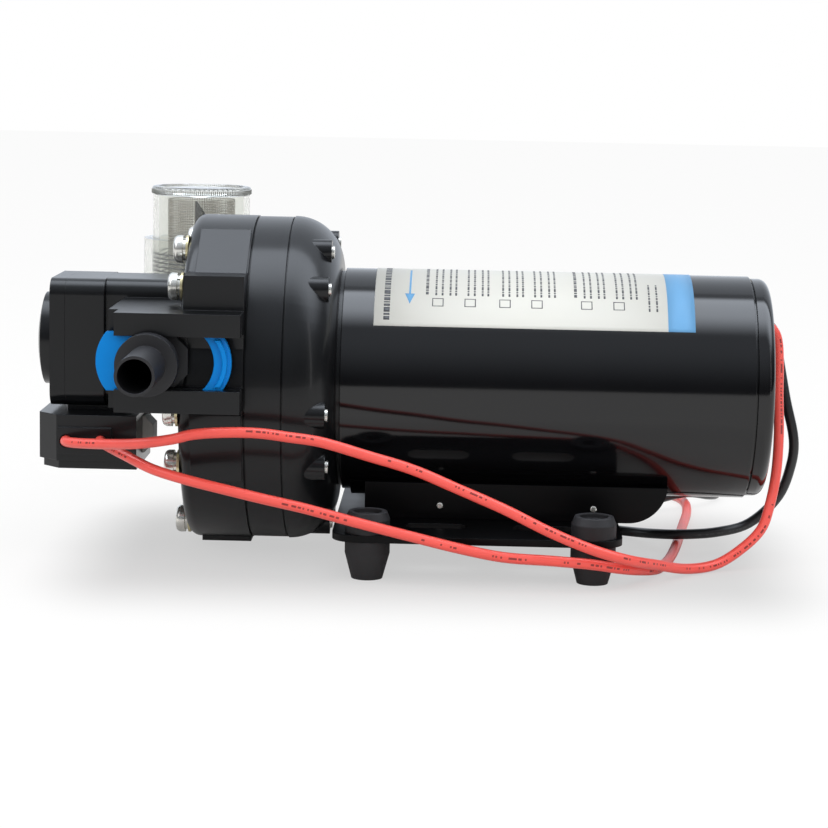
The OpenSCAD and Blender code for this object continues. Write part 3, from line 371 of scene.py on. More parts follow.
def clear_polycarbonate():
    # Clear moulded plastic with faint flow marks
    material, tree, place, bsdf = surface("clear_polycarbonate", Base_Color=rgba(linear("#F2F3EF")),
                                          Roughness=0.05, IOR=1.4, Transmission_Weight=0.94)
    flow = node(tree, "ShaderNodeTexNoise",
                {"Vector": place.outputs["Object"], "Scale": 1 / (9 * MM), "Detail": 3})
    bump = node(tree, "ShaderNodeBump",
                {"Height": flow.outputs["Fac"], "Distance": 0.05 * MM, "Strength": 0.4})
    tree.links.new(bump.outputs["Normal"], bsdf.inputs["Normal"])
    return material


def shade_tinted_polycarbonate(name, tone, clear):
    """Fine ribs in the clear plastic, tinted grey as painted shade for the light they bend away, so that they
    look darker.
    """
    material, tree, place, bsdf = surface(name, Base_Color=rgba(linear(tone)), IOR=1.58,
                                          Transmission_Weight=clear)
    flow = node(tree, "ShaderNodeTexNoise",
                {"Vector": place.outputs["Object"], "Scale": 1 / (5 * MM), "Detail": 2})
    gloss = node(tree, "ShaderNodeMapRange", {"Value": flow.outputs["Fac"], "To Min": 0.05, "To Max": 0.2})
    tree.links.new(gloss.outputs["Result"], bsdf.inputs["Roughness"])
    return material


def thread_crests():
    # Crests of the bowl's thread, seen edge on through the collar, tinted dark grey as painted shade
    return shade_tinted_polycarbonate("threaded_polycarbonate", "#404240", 0.35)


def knurl_ribs():
    # Shallow ribs on the bowl's rim, tinted grey as painted shade
    return shade_tinted_polycarbonate("knurled_polycarbonate", "#A9ABA6", 0.6)


def seam_steel():
    # Doubled, soldered seam of the woven screen, darker than the weave
    return moulded("soldered_screen_seam", linear("#1E1B16"), 0.5, 0.5, 0.02, 0.0, 0.25, Metallic=0.3)


def pvc(name, colour, mark):
    """Extruded wire insulation, with a broken line printed along it; the UV map runs in metres."""
    material, tree, place, bsdf = surface(name, IOR=1.52)
    way = node(tree, "ShaderNodeSeparateXYZ", {"Vector": place.outputs["UV"]})
    cloud = node(tree, "ShaderNodeTexNoise",
                 {"Vector": place.outputs["Object"], "Scale": 1 / (6 * MM), "Detail": 3})
    tint = node(tree, "ShaderNodeMix",
                {"Factor": cloud.outputs["Fac"], "A": shade(colour, 0.88), "B": shade(colour, 1.1)},
                data_type="RGBA")
    marks = []
    for cell, share in ((11 * MM, 0.55), (0.5 * MM, 0.45)):
        step = node(tree, "ShaderNodeMath", {0: way.outputs["X"], 1: cell}, operation="SNAP")
        chance = node(tree, "ShaderNodeTexWhiteNoise", {"W": step.outputs[0]}, noise_dimensions="1D")
        drawn = node(tree, "ShaderNodeMath", {0: chance.outputs["Value"], 1: share}, operation="LESS_THAN")
        marks.append(drawn.outputs[0])
    line = node(tree, "ShaderNodeMath", {0: way.outputs["Y"], 1: PRINT_TURN, 2: PRINT_HALF},
                operation="COMPARE")
    both = node(tree, "ShaderNodeMath", {0: marks[0], 1: marks[1]}, operation="MULTIPLY")
    ink = node(tree, "ShaderNodeMath", {0: both.outputs[0], 1: line.outputs[0]}, operation="MULTIPLY")
    printed = node(tree, "ShaderNodeMix",
                   {"Factor": ink.outputs[0], "A": tint.outputs["Result"], "B": rgba(mark)}, data_type="RGBA")
    gloss = node(tree, "ShaderNodeMapRange", {"Value": cloud.outputs["Fac"], "To Min": 0.3, "To Max": 0.42})
    tree.links.new(printed.outputs["Result"], bsdf.inputs["Base Color"])
    tree.links.new(gloss.outputs["Result"], bsdf.inputs["Roughness"])
    return material


def red_pvc():
    # Red insulation with a dark broken print line
    return pvc("red_pvc_insulation", colours().red_wire, linear("#8E2E2A"))


def black_pvc():
    # Black insulation with a barely visible print line
    return pvc("black_pvc_insulation", colours().black_wire, linear("#2C2C2E"))


def label_film():
    # Satin white polyester film
    return moulded("polyester_label_film", colours().label, 0.38, 1.2, 0.003, 0.0, 0.03,
                   Specular_IOR_Level=0.2)


def band_ink():
    # Blue screen ink on the film
    return moulded("blue_screen_ink", colours().label_band, 0.38, 1.2, 0.003, 0.0, 0.06,
                   Specular_IOR_Level=0.2)


def line_ink():
    # Dark screen ink on the film
    return moulded("dark_screen_ink", linear("#46484C"), 0.4, 1.2, 0.003, 0.0, 0.06)


NODE_FINISH = {
    "motor_saddle": black_powder_coat, "base_plate": black_powder_coat, "outlet_fitting": black_acetal_painted_light,
}
SLOT_FINISH = {
    "black_nylon": glass_filled_nylon, "gloss_black_paint": stoved_enamel, "zinc_plated_steel": zinc_plate,
    "yellow_zinc_steel": yellow_zinc, "black_rubber": natural_rubber, "red_rubber": red_silicone,
    "blue_acetal": blue_acetal, "clear_plastic": clear_polycarbonate, "steel_mesh": stainless_wire,
    "ferrite": ferrite, "core_steel": core_steel, "copper": drawn_copper, "bronze": sintered_bronze,
    "carbon": carbon, "brown_laminate": paper_laminate, "white_plastic": natural_acetal,
    "grey_plastic": grey_plastic, "red_pvc": red_pvc, "black_pvc": black_pvc,
}
finishes = {}


def finish_for(slot, part=None):
    """The finish of a material slot, or of one part that differs from its slot."""
    make = NODE_FINISH.get(part, SLOT_FINISH[slot])
    if make not in finishes:
        finishes[make] = make()
    return finishes[make]


# Meshes

def new_piece(name, vertices, faces, materials, body, smooth=True, face_material=None, uv=None):
    """Makes a mesh piece that rides on a body; uv is one pair for each vertex of each face."""
    mesh = bpy.data.meshes.new(name)
    mesh.from_pydata([tuple(v) for v in vertices], [], faces)
    for material in materials:
        mesh.materials.append(material)
    if face_material:
        mesh.polygons.foreach_set("material_index", face_material)
    if uv:
        layer = mesh.uv_layers.new(name="UVMap")
        for loop, pair in zip(layer.data, uv):
            loop.uv = pair
    mesh.polygons.foreach_set("use_smooth", [smooth] * len(mesh.polygons))
    mesh.update()
    piece = bpy.data.objects.new(name, mesh)
    bpy.context.scene.collection.objects.link(piece)
    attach(piece, body)
    return piece


def smooth_route(points, steps=6):
    """Smooth line through points given in millimetres, as points in metres."""
    p = [Vector(q) * MM for q in points]
    t = [0.0]
    for a, b in zip(p, p[1:]):
        t.append(t[-1] + math.sqrt((b - a).length))
    last = len(p) - 1
    slopes = []
    for i in range(last + 1):
        low, high = max(i - 1, 0), min(i + 1, last)
        slopes.append((p[high] - p[low]) / (t[high] - t[low]))
    line = []
    for i in range(last):
        span = t[i + 1] - t[i]
        for k in range(steps):
            s = k / steps
            line.append((2 * s**3 - 3 * s**2 + 1) * p[i] + (s**3 - 2 * s**2 + s) * span * slopes[i]
                        + (3 * s**2 - 2 * s**3) * p[i + 1] + (s**3 - s**2) * span * slopes[i + 1])
    return line + [p[last]]


def tube(line, radius, sides):
    """Vertices, faces and UVs of a closed round tube along a line; U runs in metres, V once round."""
    vertices, faces, uv = [], [], []
    side = Vector((0, 0, 1))
    gone = 0.0
    along = []
    for i, p in enumerate(line):
        tangent = (line[min(i + 1, len(line) - 1)] - line[max(i - 1, 0)]).normalized()
        side = (side - tangent * side.dot(tangent)).normalized()
        other = tangent.cross(side)
        gone += (p - line[max(i - 1, 0)]).length
        along.append(gone)
        for k in range(sides):
            a = math.tau * k / sides
            vertices.append(p + radius * (math.cos(a) * side + math.sin(a) * other))
    for i in range(len(line) - 1):
        for k in range(sides):
            n = (k + 1) % sides
            faces.append((i * sides + k, i * sides + n, (i + 1) * sides + n, (i + 1) * sides + k))
            for row, turn in ((i, k), (i, k + 1), (i + 1, k + 1), (i + 1, k)):
                uv.append((along[row], turn / sides))
    last = (len(line) - 1) * sides
    faces.append(tuple(range(sides - 1, -1, -1)))
    faces.append(tuple(range(last, last + sides)))
    uv += [(0.0, 0.0)] * sides + [(along[-1], 0.0)] * sides
    return vertices, faces, uv


def lathe(outline, centre, sides=96):
    """Vertices and faces of an outline of (radius, height) pairs, from pole to pole, turned about an axis."""
    vertices = [Vector((centre.x, centre.y, outline[0][1])), Vector((centre.x, centre.y, outline[-1][1]))]
    rings = outline[1:-1]
    for k in range(sides):
        a = math.tau * k / sides
        for r, z in rings:
            vertices.append(Vector((centre.x + r * math.cos(a), centre.y + r * math.sin(a), z)))
    count = len(rings)
    faces = []
    for k in range(sides):
        here, there = 2 + k * count, 2 + (k + 1) % sides * count
        faces.append((0, there, here))
        faces.append((1, here + count - 1, there + count - 1))
        for i in range(count - 1):
            faces.append((here + i, there + i, there + i + 1, here + i + 1))
    return vertices, faces


def node_mesh(name, tree, values, body):
    """Turns a Geometry Nodes tree into a plain mesh piece."""
    host = bpy.data.objects.new(name + "_host", bpy.data.meshes.new(name + "_host"))
    bpy.context.scene.collection.objects.link(host)
    modifier = host.modifiers.new("Nodes", "NODES")
    modifier.node_group = tree
    for item in tree.interface.items_tree:
        if item.in_out == "INPUT" and item.name in values:
            modifier[item.identifier] = values[item.name]
    evaluated = host.evaluated_get(bpy.context.evaluated_depsgraph_get())
    mesh = bpy.data.meshes.new_from_object(evaluated)
    mesh.name = name
    host.modifiers.remove(modifier)
    bpy.data.objects.remove(host)
    piece = bpy.data.objects.new(name, mesh)
    bpy.context.scene.collection.objects.link(piece)
    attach(piece, body)
    return piece


def new_tree(name, inputs):
    """Geometry Nodes tree with named inputs; returns it and the sockets that give them."""
    tree = bpy.data.node_groups.new(name, "GeometryNodeTree")
    for title, kind in inputs.items():
        tree.interface.new_socket(title, in_out="INPUT", socket_type=kind)
    tree.interface.new_socket("Geometry", in_out="OUTPUT", socket_type="NodeSocketGeometry")
    return tree, node(tree, "NodeGroupInput").outputs


def close_tree(tree, geometry, material):
    """Ends a tree with real, smooth, dressed geometry."""
    real = node(tree, "GeometryNodeRealizeInstances", {"Geometry": geometry})
    smooth = node(tree, "GeometryNodeSetShadeSmooth", {"Geometry": real.outputs["Geometry"]})
    dressed = node(tree, "GeometryNodeSetMaterial",
                   {"Geometry": smooth.outputs["Geometry"], "Material": material})
    node(tree, "NodeGroupOutput", {"Geometry": dressed.outputs["Geometry"]})


def hoop_tree(material):
    """Round wires stacked along Z about a centre, such as a screen's weft."""
    tree, given = new_tree("stacked_hoops", {
        "Centre": "NodeSocketVector", "Radius": "NodeSocketFloat", "Wire": "NodeSocketFloat",
        "Pitch": "NodeSocketFloat", "Count": "NodeSocketInt"})
    step = node(tree, "ShaderNodeCombineXYZ", {"Z": given["Pitch"]})
    stack = node(tree, "GeometryNodeMeshLine",
                 {"Count": given["Count"], "Start Location": given["Centre"], "Offset": step.outputs[0]},
                 mode="OFFSET")
    hoop = node(tree, "GeometryNodeCurvePrimitiveCircle", {"Radius": given["Radius"], "Resolution": 72})
    section = node(tree, "GeometryNodeCurvePrimitiveCircle", {"Radius": given["Wire"], "Resolution": 5})
    wire = node(tree, "GeometryNodeCurveToMesh",
                {"Curve": hoop.outputs["Curve"], "Profile Curve": section.outputs["Curve"]})
    set_out = node(tree, "GeometryNodeInstanceOnPoints",
                   {"Points": stack.outputs["Mesh"], "Instance": wire.outputs["Mesh"]})
    close_tree(tree, set_out.outputs["Instances"], material)
    return tree


def helix_tree(material):
    """Round wires wound up a cylinder from evenly spread starts, such as a thread's crests."""
    tree, given = new_tree("wound_helix", {
        "Centre": "NodeSocketVector", "Radius": "NodeSocketFloat", "Wire": "NodeSocketFloat",
        "Height": "NodeSocketFloat", "Turns": "NodeSocketFloat", "Starts": "NodeSocketInt"})
    starts = node(tree, "GeometryNodeMeshLine",
                  {"Count": given["Starts"], "Start Location": given["Centre"], "Offset": (0, 0, 0)},
                  mode="OFFSET")
    index = node(tree, "GeometryNodeInputIndex")
    share = node(tree, "ShaderNodeMath", {0: index.outputs["Index"], 1: given["Starts"]}, operation="DIVIDE")
    angle = node(tree, "ShaderNodeMath", {0: share.outputs[0], 1: math.tau}, operation="MULTIPLY")
    turned = node(tree, "ShaderNodeCombineXYZ", {"Z": angle.outputs[0]})
    line = node(tree, "GeometryNodeCurveSpiral",
                {"Resolution": 64, "Rotations": given["Turns"], "Start Radius": given["Radius"],
                 "End Radius": given["Radius"], "Height": given["Height"]})
    section = node(tree, "GeometryNodeCurvePrimitiveCircle", {"Radius": given["Wire"], "Resolution": 6})
    wire = node(tree, "GeometryNodeCurveToMesh",
                {"Curve": line.outputs["Curve"], "Profile Curve": section.outputs["Curve"],
                 "Fill Caps": True})
    set_out = node(tree, "GeometryNodeInstanceOnPoints",
                   {"Points": starts.outputs["Mesh"], "Instance": wire.outputs["Mesh"],
                    "Rotation": turned.outputs[0]})
    close_tree(tree, set_out.outputs["Instances"], material)
    return tree


def stave_tree(material):
    """Upright wires set round a centre, such as a screen's warp."""
    tree, given = new_tree("upright_staves", {
        "Centre": "NodeSocketVector", "Radius": "NodeSocketFloat", "Wire": "NodeSocketFloat",
        "Top": "NodeSocketVector", "Count": "NodeSocketInt"})
    round_line = node(tree, "GeometryNodeMeshCircle", {"Vertices": given["Count"], "Radius": given["Radius"]})
    moved = node(tree, "GeometryNodeTransform",
                 {"Geometry": round_line.outputs["Mesh"], "Translation": given["Centre"]})
    line = node(tree, "GeometryNodeCurvePrimitiveLine", {"End": given["Top"]})
    section = node(tree, "GeometryNodeCurvePrimitiveCircle", {"Radius": given["Wire"], "Resolution": 5})
    wire = node(tree, "GeometryNodeCurveToMesh",
                {"Curve": line.outputs["Curve"], "Profile Curve": section.outputs["Curve"],
                 "Fill Caps": True})
    set_out = node(tree, "GeometryNodeInstanceOnPoints",
                   {"Points": moved.outputs["Geometry"], "Instance": wire.outputs["Mesh"]})
    close_tree(tree, set_out.outputs["Instances"], material)
    return tree


# Operators

class PUMP_OT_finishes(bpy.types.Operator):
    """Give every solid of the pump its finish"""

    bl_idname = "pump.finishes"
    bl_label = "Finishes"

    def execute(self, context):
        for part in frame["record"]["subparts"]:
            mesh = frame["nodes"][part["node"]].data
            mesh.materials.clear()
            mesh.materials.append(finish_for(part["material_slot"], part["node"]))
        return {"FINISHED"}


class PUMP_OT_wires(bpy.types.Operator):
    """Lay the three wires and their stripped copper ends"""

    bl_idname = "pump.wires"
    bl_label = "Wires"

    def execute(self, context):
        size = sizes()
        for name, route, slot, far_end in (
                ("red_link_wire_cord", LINK_ROUTE, "red_pvc", "object"),
                ("red_supply_lead_cord", RED_ROUTE, "red_pvc", "bare"),
                ("black_supply_lead_cord", BLACK_ROUTE, "black_pvc", "bare")):
            line = smooth_route(route)
            vertices, faces, uv = tube(line, size.wire / 2, 16)
            wire = new_piece(name, vertices, faces, [finish_for(slot)], PUMP, uv=uv)
            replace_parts(wire, name.removesuffix("_cord"))
            ends = [self.strands(name, line[-1])] if far_end == "bare" else []
        return {"FINISHED"}

    def strands(self, name, start):
        """Seven twisted strands that stand out of a lead's end, along -X."""
        size = sizes()
        vertices, faces = [], []
        outer, steps, twist = 6, 16, 0.5
        for k in range(outer + 1):
            lay = 0 if k == outer else size.strand
            line = []
            for i in range(steps + 1):
                turn = math.tau * (k / outer + twist * i / steps)
                offset = Vector((0, lay * math.cos(turn), lay * math.sin(turn)))
                line.append(start + offset - Vector((size.bare * i / steps, 0, 0)))
            more, sides, _ = tube(line, size.strand / 2, 6)
            faces += [tuple(v + len(vertices) for v in face) for face in sides]
            vertices += more
        piece = new_piece(name.replace("cord", "strands"), vertices, faces, [finish_for("copper")],
                          PUMP)
        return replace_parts(piece, "bare_lead_ends")


class PUMP_OT_label(bpy.types.Operator):
    """Wrap the plain label with its blue band, arrow, squares and lines round the motor"""

    bl_idname = "pump.label"
    bl_label = "Label"

    def execute(self, context):
        size = sizes()
        self.vertices, self.faces, self.inks = [], [], []
        low, high = math.degrees(size.label_low), math.degrees(size.label_high)
        x0, x1 = size.label_x0 / MM, size.label_x1 / MM
        self.patch(x0, x1, low, high, FILM_LIFT, FILM)
        self.patch(x1 - BAND_WIDTH, x1, low, high, INK_LIFT, BAND)
        self.arrow(x0 + 11.1, low + 14, low + 50)
        # A wide line along the front edge
        self.print_line(x0 + 3, low + 3.5, low + 66, 1.9)
        square_low, lines_low = low + 12.5, low + 20.5
        for k, x in enumerate(SQUARE_COLUMNS):
            self.square(x, square_low)
            # The lines' reach differs from column to column, as print does
            for offset, reach in SQUARE_LINES:
                self.print_line(x + offset, lines_low, lines_low + reach - 3 * (k % 3), 0.6)
            # Two of the columns have a bolder line in front
            if k in (0, 4):
                self.print_line(x - 3.9, low + 21, low + 70, 0.9)
        # Two short lines by the band
        for offset in (14.5, 12.1):
            self.print_line(x1 - offset, low + 12, low + 34)
        new_piece("motor_label", self.vertices, self.faces, [label_film(), band_ink(), line_ink()],
                  PUMP, face_material=self.inks)
        return {"FINISHED"}

    def point(self, x, angle, lift):
        """Point over the can, from millimetres along it and degrees up from its side."""
        a = math.radians(angle)
        r = CAN_R + lift * MM
        return Vector((x * MM, -r * math.cos(a), AXIS_Z + r * math.sin(a)))

    def patch(self, x0, x1, low, high, lift, ink, pointed=False):
        """Thin closed sheet on the can, up to a lift in millimetres; a pointed one narrows to its low end."""
        count = max(2, math.ceil((high - low) / 2))
        start = len(self.vertices)
        middle = (x0 + x1) / 2
        for i in range(count + 1):
            angle = low + (high - low) * i / count
            spread = max(i / count, 0.02) if pointed else 1
            left, right = middle + (x0 - middle) * spread, middle + (x1 - middle) * spread
            for x, rise in ((left, lift), (right, lift), (right, BACK_LIFT), (left, BACK_LIFT)):
                self.vertices.append(self.point(x, angle, rise))
        for i in range(count):
            for k in range(4):
                a, b = start + 4 * i + k, start + 4 * i + (k + 1) % 4
                self.add_face((a, b, b + 4, a + 4), ink)
        self.add_face((start + 3, start + 2, start + 1, start), ink)
        last = start + 4 * count
        self.add_face((last, last + 1, last + 2, last + 3), ink)

    def add_face(self, corners, ink):
        self.faces.append(corners)
        self.inks.append(ink)

    def print_line(self, x, low, high, width=0.55):
        """Broken dark line, as a line of print looks from a step away."""
        angle = low
        k = 0
        while angle < high:
            end = min(high, angle + LINE_MARKS[k % len(LINE_MARKS)])
            self.patch(x, x + width, angle, end, INK_LIFT, LINE)
            angle = end + LINE_GAP
            k += 1

    def square(self, x, low, side=3.6, rule=0.3):
        """Empty square, ruled in dark ink."""
        turn = math.degrees(side * MM / CAN_R)
        thin = math.degrees(rule * MM / CAN_R)
        self.patch(x - side / 2, x + side / 2, low, low + thin, INK_LIFT, LINE)
        self.patch(x - side / 2, x + side / 2, low + turn - thin, low + turn, INK_LIFT, LINE)
        for edge in (x - side / 2, x + side / 2 - rule):
            self.patch(edge, edge + rule, low + thin, low + turn - thin, INK_LIFT, LINE)

    def arrow(self, x, low, high):
        """Flow arrow pointing down the motor's side."""
        head, half_shaft, half_head = 7.4, 0.3, 1.6
        self.patch(x - half_shaft, x + half_shaft, low + head, high, INK_LIFT, BAND)
        self.patch(x - half_head, x + half_head, low, low + head, INK_LIFT, BAND, pointed=True)


class PUMP_OT_strainer(bpy.types.Operator):
    """Weave the strainer's screen and mould its clear bowl with thread and knurl"""

    bl_idname = "pump.strainer"
    bl_label = "Strainer"

    def execute(self, context):
        size = sizes()
        # The weave is drawn coarser than the real one, so that it shows
        wire_finish = finish_for("steel_mesh")
        centre = (SCREEN_LOW + SCREEN_HIGH) / 2
        radius = (SCREEN_HIGH.x - SCREEN_LOW.x) / 2 - size.mesh_wire / 2
        height = SCREEN_HIGH.z - SCREEN_LOW.z - size.mesh_wire
        base = Vector((centre.x, centre.y, SCREEN_LOW.z + size.mesh_wire / 2))
        rows = round(height / size.mesh_pitch)
        weft = node_mesh("screen_weft", hoop_tree(wire_finish), {
            "Centre": base, "Radius": radius, "Wire": size.mesh_wire / 2,
            "Pitch": height / rows, "Count": rows + 1}, "screen")
        warp = node_mesh("screen_warp", stave_tree(wire_finish), {
            "Centre": base, "Radius": radius - size.mesh_wire / 2, "Wire": size.mesh_wire / 2,
            "Top": (0, 0, height), "Count": round(math.tau * radius / size.mesh_pitch)},
            "screen")
        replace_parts(weft, "strainer_screen")
        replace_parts(warp, "strainer_screen")
        self.seam(base, radius + size.mesh_wire / 2, height)
        bowl_centre = (BOWL_LOW + BOWL_HIGH) / 2
        self.bowl(bowl_centre)
        plain_low, plain_top, crest, starts = 2 * MM, 4 * MM, 0.3 * MM, 2
        thread_low = BOWL_LOW.z + plain_low
        rise = BODY_TOP - thread_low - plain_top
        node_mesh("bowl_thread", helix_tree(thread_crests()), {
            "Centre": Vector((bowl_centre.x, bowl_centre.y, thread_low)), "Radius": BOWL_R, "Wire": crest,
            "Height": rise, "Turns": rise / size.thread_lead, "Starts": starts}, "bowl")
        return {"FINISHED"}

    def bowl(self, centre):
        """Clear moulded bowl, closed at the top, with a dished lid and a finely knurled rim."""
        size = sizes()
        top = BOWL_HIGH.z
        wall, proud, edge, dish = 2 * MM, 0.4 * MM, 0.9 * MM, 0.5 * MM
        inside, rim, rim_low, lid = BOWL_R - wall, BOWL_R + proud, top - 3 * MM, top - wall
        outline = [(0, lid), (inside - edge, lid), (inside, lid - edge), (inside, BOWL_LOW.z),
                   (BOWL_R, BOWL_LOW.z), (BOWL_R, rim_low), (rim, rim_low + proud)]
        steps = 4
        for k in range(steps + 1):
            turn = math.radians(90 * k / steps)
            outline.append((rim - edge + edge * math.cos(turn), top - edge + edge * math.sin(turn)))
        outline += [(rim - 2.2 * MM, top), (rim - 2.8 * MM, top - dish), (0, top - dish)]
        vertices, faces = lathe(outline, centre)
        piece = new_piece("clear_bowl", vertices, faces, [finish_for("clear_plastic")],
                          "bowl")
        piece.data.set_sharp_from_angle(angle=math.radians(35))
        rib, rib_low, rib_height = 0.2 * MM, rim_low + 0.5 * MM, 1.5 * MM
        knurl = node_mesh("bowl_knurl", stave_tree(knurl_ribs()), {
            "Centre": Vector((centre.x, centre.y, rib_low)), "Radius": rim, "Wire": rib,
            "Top": (0, 0, rib_height), "Count": round(math.tau * rim / size.knurl_pitch)},
            "bowl")
        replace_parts(piece, "strainer_bowl")
        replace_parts(knurl, "strainer_bowl")

    def seam(self, base, radius, height):
        """Overlapped upright seam of the rolled screen, cut to a point at its top."""
        thick, taper, steps = 0.25 * MM, 7 * MM, 6
        left, narrow, wide = math.radians(-94), math.radians(3), math.radians(24)
        rows = [(0.0, wide), (height - taper, wide), (height, narrow)]
        vertices, faces = [], []
        for z, width in rows:
            for r in (radius, radius + thick):
                for i in range(steps + 1):
                    a = left + width * i / steps
                    vertices.append(base + Vector((r * math.cos(a), r * math.sin(a), z)))
        around = 2 * (steps + 1)
        ring = [*range(steps + 1), *range(around - 1, steps, -1)]
        for row in range(len(rows) - 1):
            for k, corner in enumerate(ring):
                a, b = row * around + corner, row * around + ring[(k + 1) % around]
                faces.append((a, a + around, b + around, b))
        last = (len(rows) - 1) * around
        faces += [tuple(ring), tuple(last + corner for corner in reversed(ring))]
        seam = new_piece("screen_seam", vertices, faces, [seam_steel()], "screen", False)
        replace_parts(seam, "strainer_screen")


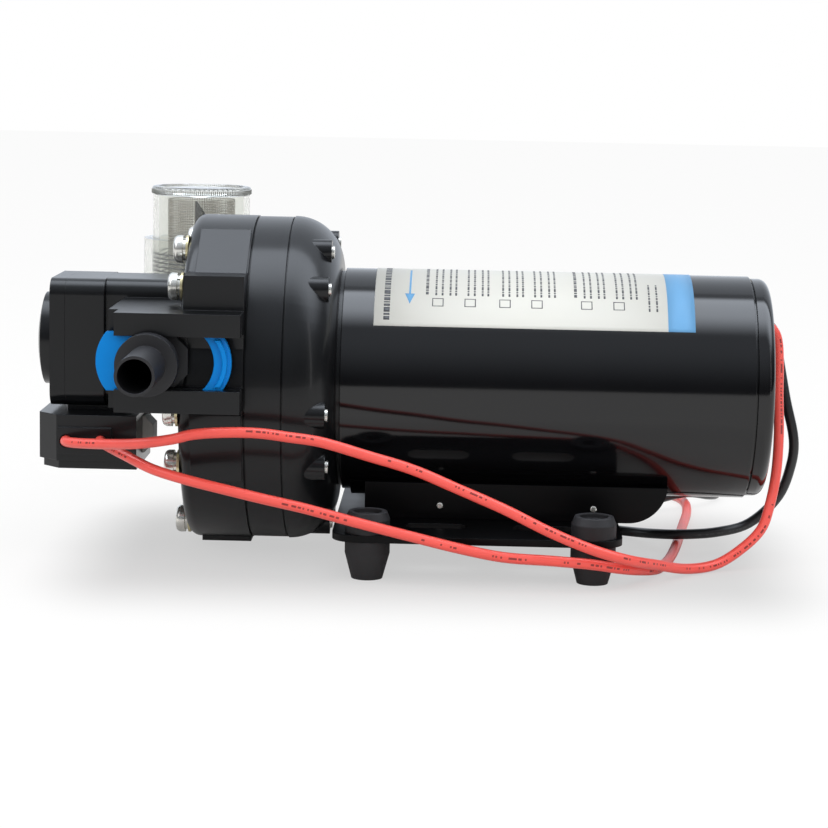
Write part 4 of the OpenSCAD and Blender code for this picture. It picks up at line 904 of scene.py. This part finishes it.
class PUMP_OT_stage(bpy.types.Operator):
    """Set up the pale floor, the soft lights and the camera"""

    bl_idname = "pump.stage"
    bl_label = "Stage"

    def execute(self, context):
        scene = context.scene
        scene.view_settings.view_transform = "Standard"
        self.world(scene)
        self.floor()
        for name, place, aim, width, height, watts, mirrored in LAMPS:
            lamp = self.lamp(scene, name, Vector(place), Vector(aim), width, height, watts)
            lamp.visible_glossy = mirrored
        self.camera(scene)
        return {"FINISHED"}

    def lamp(self, scene, name, place, aim, width, height, watts):
        """Flat soft lamp that the camera doesn't see."""
        light = bpy.data.lights.new(name, "AREA")
        light.shape = "RECTANGLE"
        light.size = width
        light.size_y = height
        light.energy = watts
        lamp = bpy.data.objects.new(name, light)
        turn = (aim - place).to_track_quat("-Z", "Y").to_matrix()
        lamp.matrix_world = Matrix.Translation(place) @ turn.to_4x4()
        lamp.visible_camera = False
        scene.collection.objects.link(lamp)
        return lamp

    def camera(self, scene):
        """Camera of the photograph: long lens, low and almost square to the motor's side."""
        place, aim = Vector(CAMERA_PLACE) * MM, Vector(CAMERA_AIM) * MM
        forward = (aim - place).normalized()
        right = forward.cross(Vector((0, 0, 1))).normalized()
        up = right.cross(forward)
        tilted_up = up * math.cos(CAMERA_ROLL) - right * math.sin(CAMERA_ROLL)
        tilted_right = forward.cross(tilted_up)
        data = bpy.data.cameras.new("photo_camera")
        data.sensor_width = SENSOR
        data.lens = SENSOR * FOCAL / PHOTO
        camera = bpy.data.objects.new("photo_camera", data)
        axes = Matrix((tilted_right, tilted_up, -forward)).transposed()
        camera.matrix_world = Matrix.Translation(place) @ axes.to_4x4()
        scene.collection.objects.link(camera)
        scene.camera = camera

    def eye(self, tree, path):
        """1 for a ray that the camera sends, straight or through clear plastic, and otherwise 0."""
        seen = node(tree, "ShaderNodeMath",
                    {0: path.outputs["Is Camera Ray"], 1: path.outputs["Is Transmission Ray"]},
                    operation="MAXIMUM")
        return seen.outputs[0]

    def world(self, scene):
        """White for the eye; as a mirror image, a soft box overhead, pale behind the object, dim in front."""
        world = bpy.data.worlds.new("studio")
        world.use_nodes = True
        tree = world.node_tree
        tree.nodes.clear()
        path = node(tree, "ShaderNodeLightPath")
        place = node(tree, "ShaderNodeTexCoord")
        way = node(tree, "ShaderNodeSeparateXYZ", {"Vector": place.outputs["Generated"]})
        part = {}
        for name, (axis, start, end, low, high) in MIRRORED.items():
            change = node(tree, "ShaderNodeMapRange",
                          {"Value": way.outputs[axis], "From Min": start, "From Max": end,
                           "To Min": low, "To Max": high}, interpolation_type="SMOOTHSTEP")
            part[name] = change.outputs["Result"]
        for first, second, operation in (
                ("box", "box_front", "MULTIPLY"), ("box", "box_back", "MULTIPLY"),
                ("room", "behind", "MAXIMUM"), ("room", "box", "MAXIMUM")):
            joined = node(tree, "ShaderNodeMath", {0: part[first], 1: part[second]}, operation=operation)
            part[first] = joined.outputs[0]
        strength = node(tree, "ShaderNodeMapRange",
                        {"Value": path.outputs["Is Glossy Ray"], "To Min": SKY, "To Max": part["room"]})
        bright = node(tree, "ShaderNodeMath", {0: strength.outputs["Result"], 1: self.eye(tree, path)},
                      operation="MAXIMUM")
        tone = node(tree, "ShaderNodeMix",
                    {"Factor": path.outputs["Is Glossy Ray"], "A": WHITE, "B": rgba(linear("#ECF4FF"))},
                    data_type="RGBA")
        sky = node(tree, "ShaderNodeBackground",
                   {"Color": tone.outputs["Result"], "Strength": bright.outputs[0]})
        node(tree, "ShaderNodeOutputWorld", {"Surface": sky.outputs["Background"]})
        scene.world = world

    def floor(self):
        """Wide pale sheet under the feet, plain white away from the object's shadow, which is a painted soft
        shadow over the paper's own lit one.
        """
        mesh = bpy.data.meshes.new("studio_floor")
        corners = [(x * FLOOR_HALF, y * FLOOR_HALF, 0) for x, y in ((-1, -1), (1, -1), (1, 1), (-1, 1))]
        mesh.from_pydata(corners, [], [(0, 1, 2, 3)])
        material, tree, place, bsdf = surface("studio_paper", Roughness=0.9, Specular_IOR_Level=0.0)
        fibre = node(tree, "ShaderNodeTexNoise",
                     {"Vector": place.outputs["Object"], "Scale": 1 / (25 * MM)})
        tint = node(tree, "ShaderNodeMix",
                    {"Factor": fibre.outputs["Fac"], "A": rgba(linear("#F8F8F8")),
                     "B": rgba(linear("#FCFCFC"))}, data_type="RGBA")
        path = node(tree, "ShaderNodeLightPath")
        # Bounced light sees the paper grey: painted shade that darkens the object's undersides
        toned = node(tree, "ShaderNodeMix",
                     {"Factor": path.outputs["Is Diffuse Ray"], "A": tint.outputs["Result"],
                      "B": rgba(linear("#C8C8C8"))}, data_type="RGBA")
        tree.links.new(toned.outputs["Result"], bsdf.inputs["Base Color"])
        # Painted soft shadow: the paper's white glow is dimmed in a rounded box round the object
        spot = place.outputs["Object"]
        for operation, value in (
                ("SUBTRACT", SHADOW_CENTRE), ("ABSOLUTE", None), ("SUBTRACT", SHADOW_HALF),
                ("MAXIMUM", (0, 0, 0)), ("MULTIPLY", (1 / SHADOW_FADE[0], 1 / SHADOW_FADE[1], 0))):
            inputs = {0: spot} if value is None else {0: spot, 1: value}
            spot = node(tree, "ShaderNodeVectorMath", inputs, operation=operation).outputs["Vector"]
        away = node(tree, "ShaderNodeVectorMath", {0: spot}, operation="LENGTH")
        far = node(tree, "ShaderNodeMapRange", {"Value": away.outputs["Value"]},
                   interpolation_type="SMOOTHSTEP")
        painted_shadow_glow = node(tree, "ShaderNodeMapRange", {"Value": far.outputs["Result"], "To Min": SHADOW_GREY})
        mirrored = node(tree, "ShaderNodeMath", {0: path.outputs["Is Glossy Ray"], 1: far.outputs["Result"]},
                        operation="MULTIPLY")
        share = node(tree, "ShaderNodeMath",
                     {0: self.eye(tree, path), 1: SHADOW_SHARE, 2: mirrored.outputs[0]},
                     operation="MULTIPLY_ADD")
        white = node(tree, "ShaderNodeEmission", {"Color": WHITE, "Strength": painted_shadow_glow.outputs["Result"]})
        both = node(tree, "ShaderNodeMixShader",
                    {"Fac": share.outputs[0], 1: bsdf.outputs["BSDF"], 2: white.outputs["Emission"]})
        tree.links.new(both.outputs["Shader"], tree.get_output_node("ALL").inputs["Surface"])
        mesh.materials.append(material)
        floor = bpy.data.objects.new("studio_floor", mesh)
        bpy.context.scene.collection.objects.link(floor)


class PUMP_PT_panel(bpy.types.Panel):
    """Sidebar panel of the water pump"""

    bl_label = "Water Pump"
    bl_idname = "PUMP_PT_panel"
    bl_space_type = "VIEW_3D"
    bl_region_type = "UI"
    bl_category = "Water Pump"

    def draw(self, context):
        for operator in OPERATORS:
            self.layout.operator(operator.bl_idname)
        for group in (context.scene.pump_sizes, context.scene.pump_colours):
            for name in group.__annotations__:
                self.layout.prop(group, name)


OPERATORS = (PUMP_OT_stage, PUMP_OT_finishes, PUMP_OT_wires, PUMP_OT_label, PUMP_OT_strainer)
CLASSES = (PumpColours, PumpSizes, *OPERATORS, PUMP_PT_panel)


def register():
    for item in CLASSES:
        bpy.utils.register_class(item)
    bpy.types.Scene.pump_colours = bpy.props.PointerProperty(type=PumpColours)
    bpy.types.Scene.pump_sizes = bpy.props.PointerProperty(type=PumpSizes)


def unregister():
    del bpy.types.Scene.pump_sizes
    del bpy.types.Scene.pump_colours
    for item in reversed(CLASSES):
        bpy.utils.unregister_class(item)


def main():
    register()
    for operator in OPERATORS:
        group, name = operator.bl_idname.split(".")
        getattr(getattr(bpy.ops, group), name)()


if __name__ == "__main__":
    main()
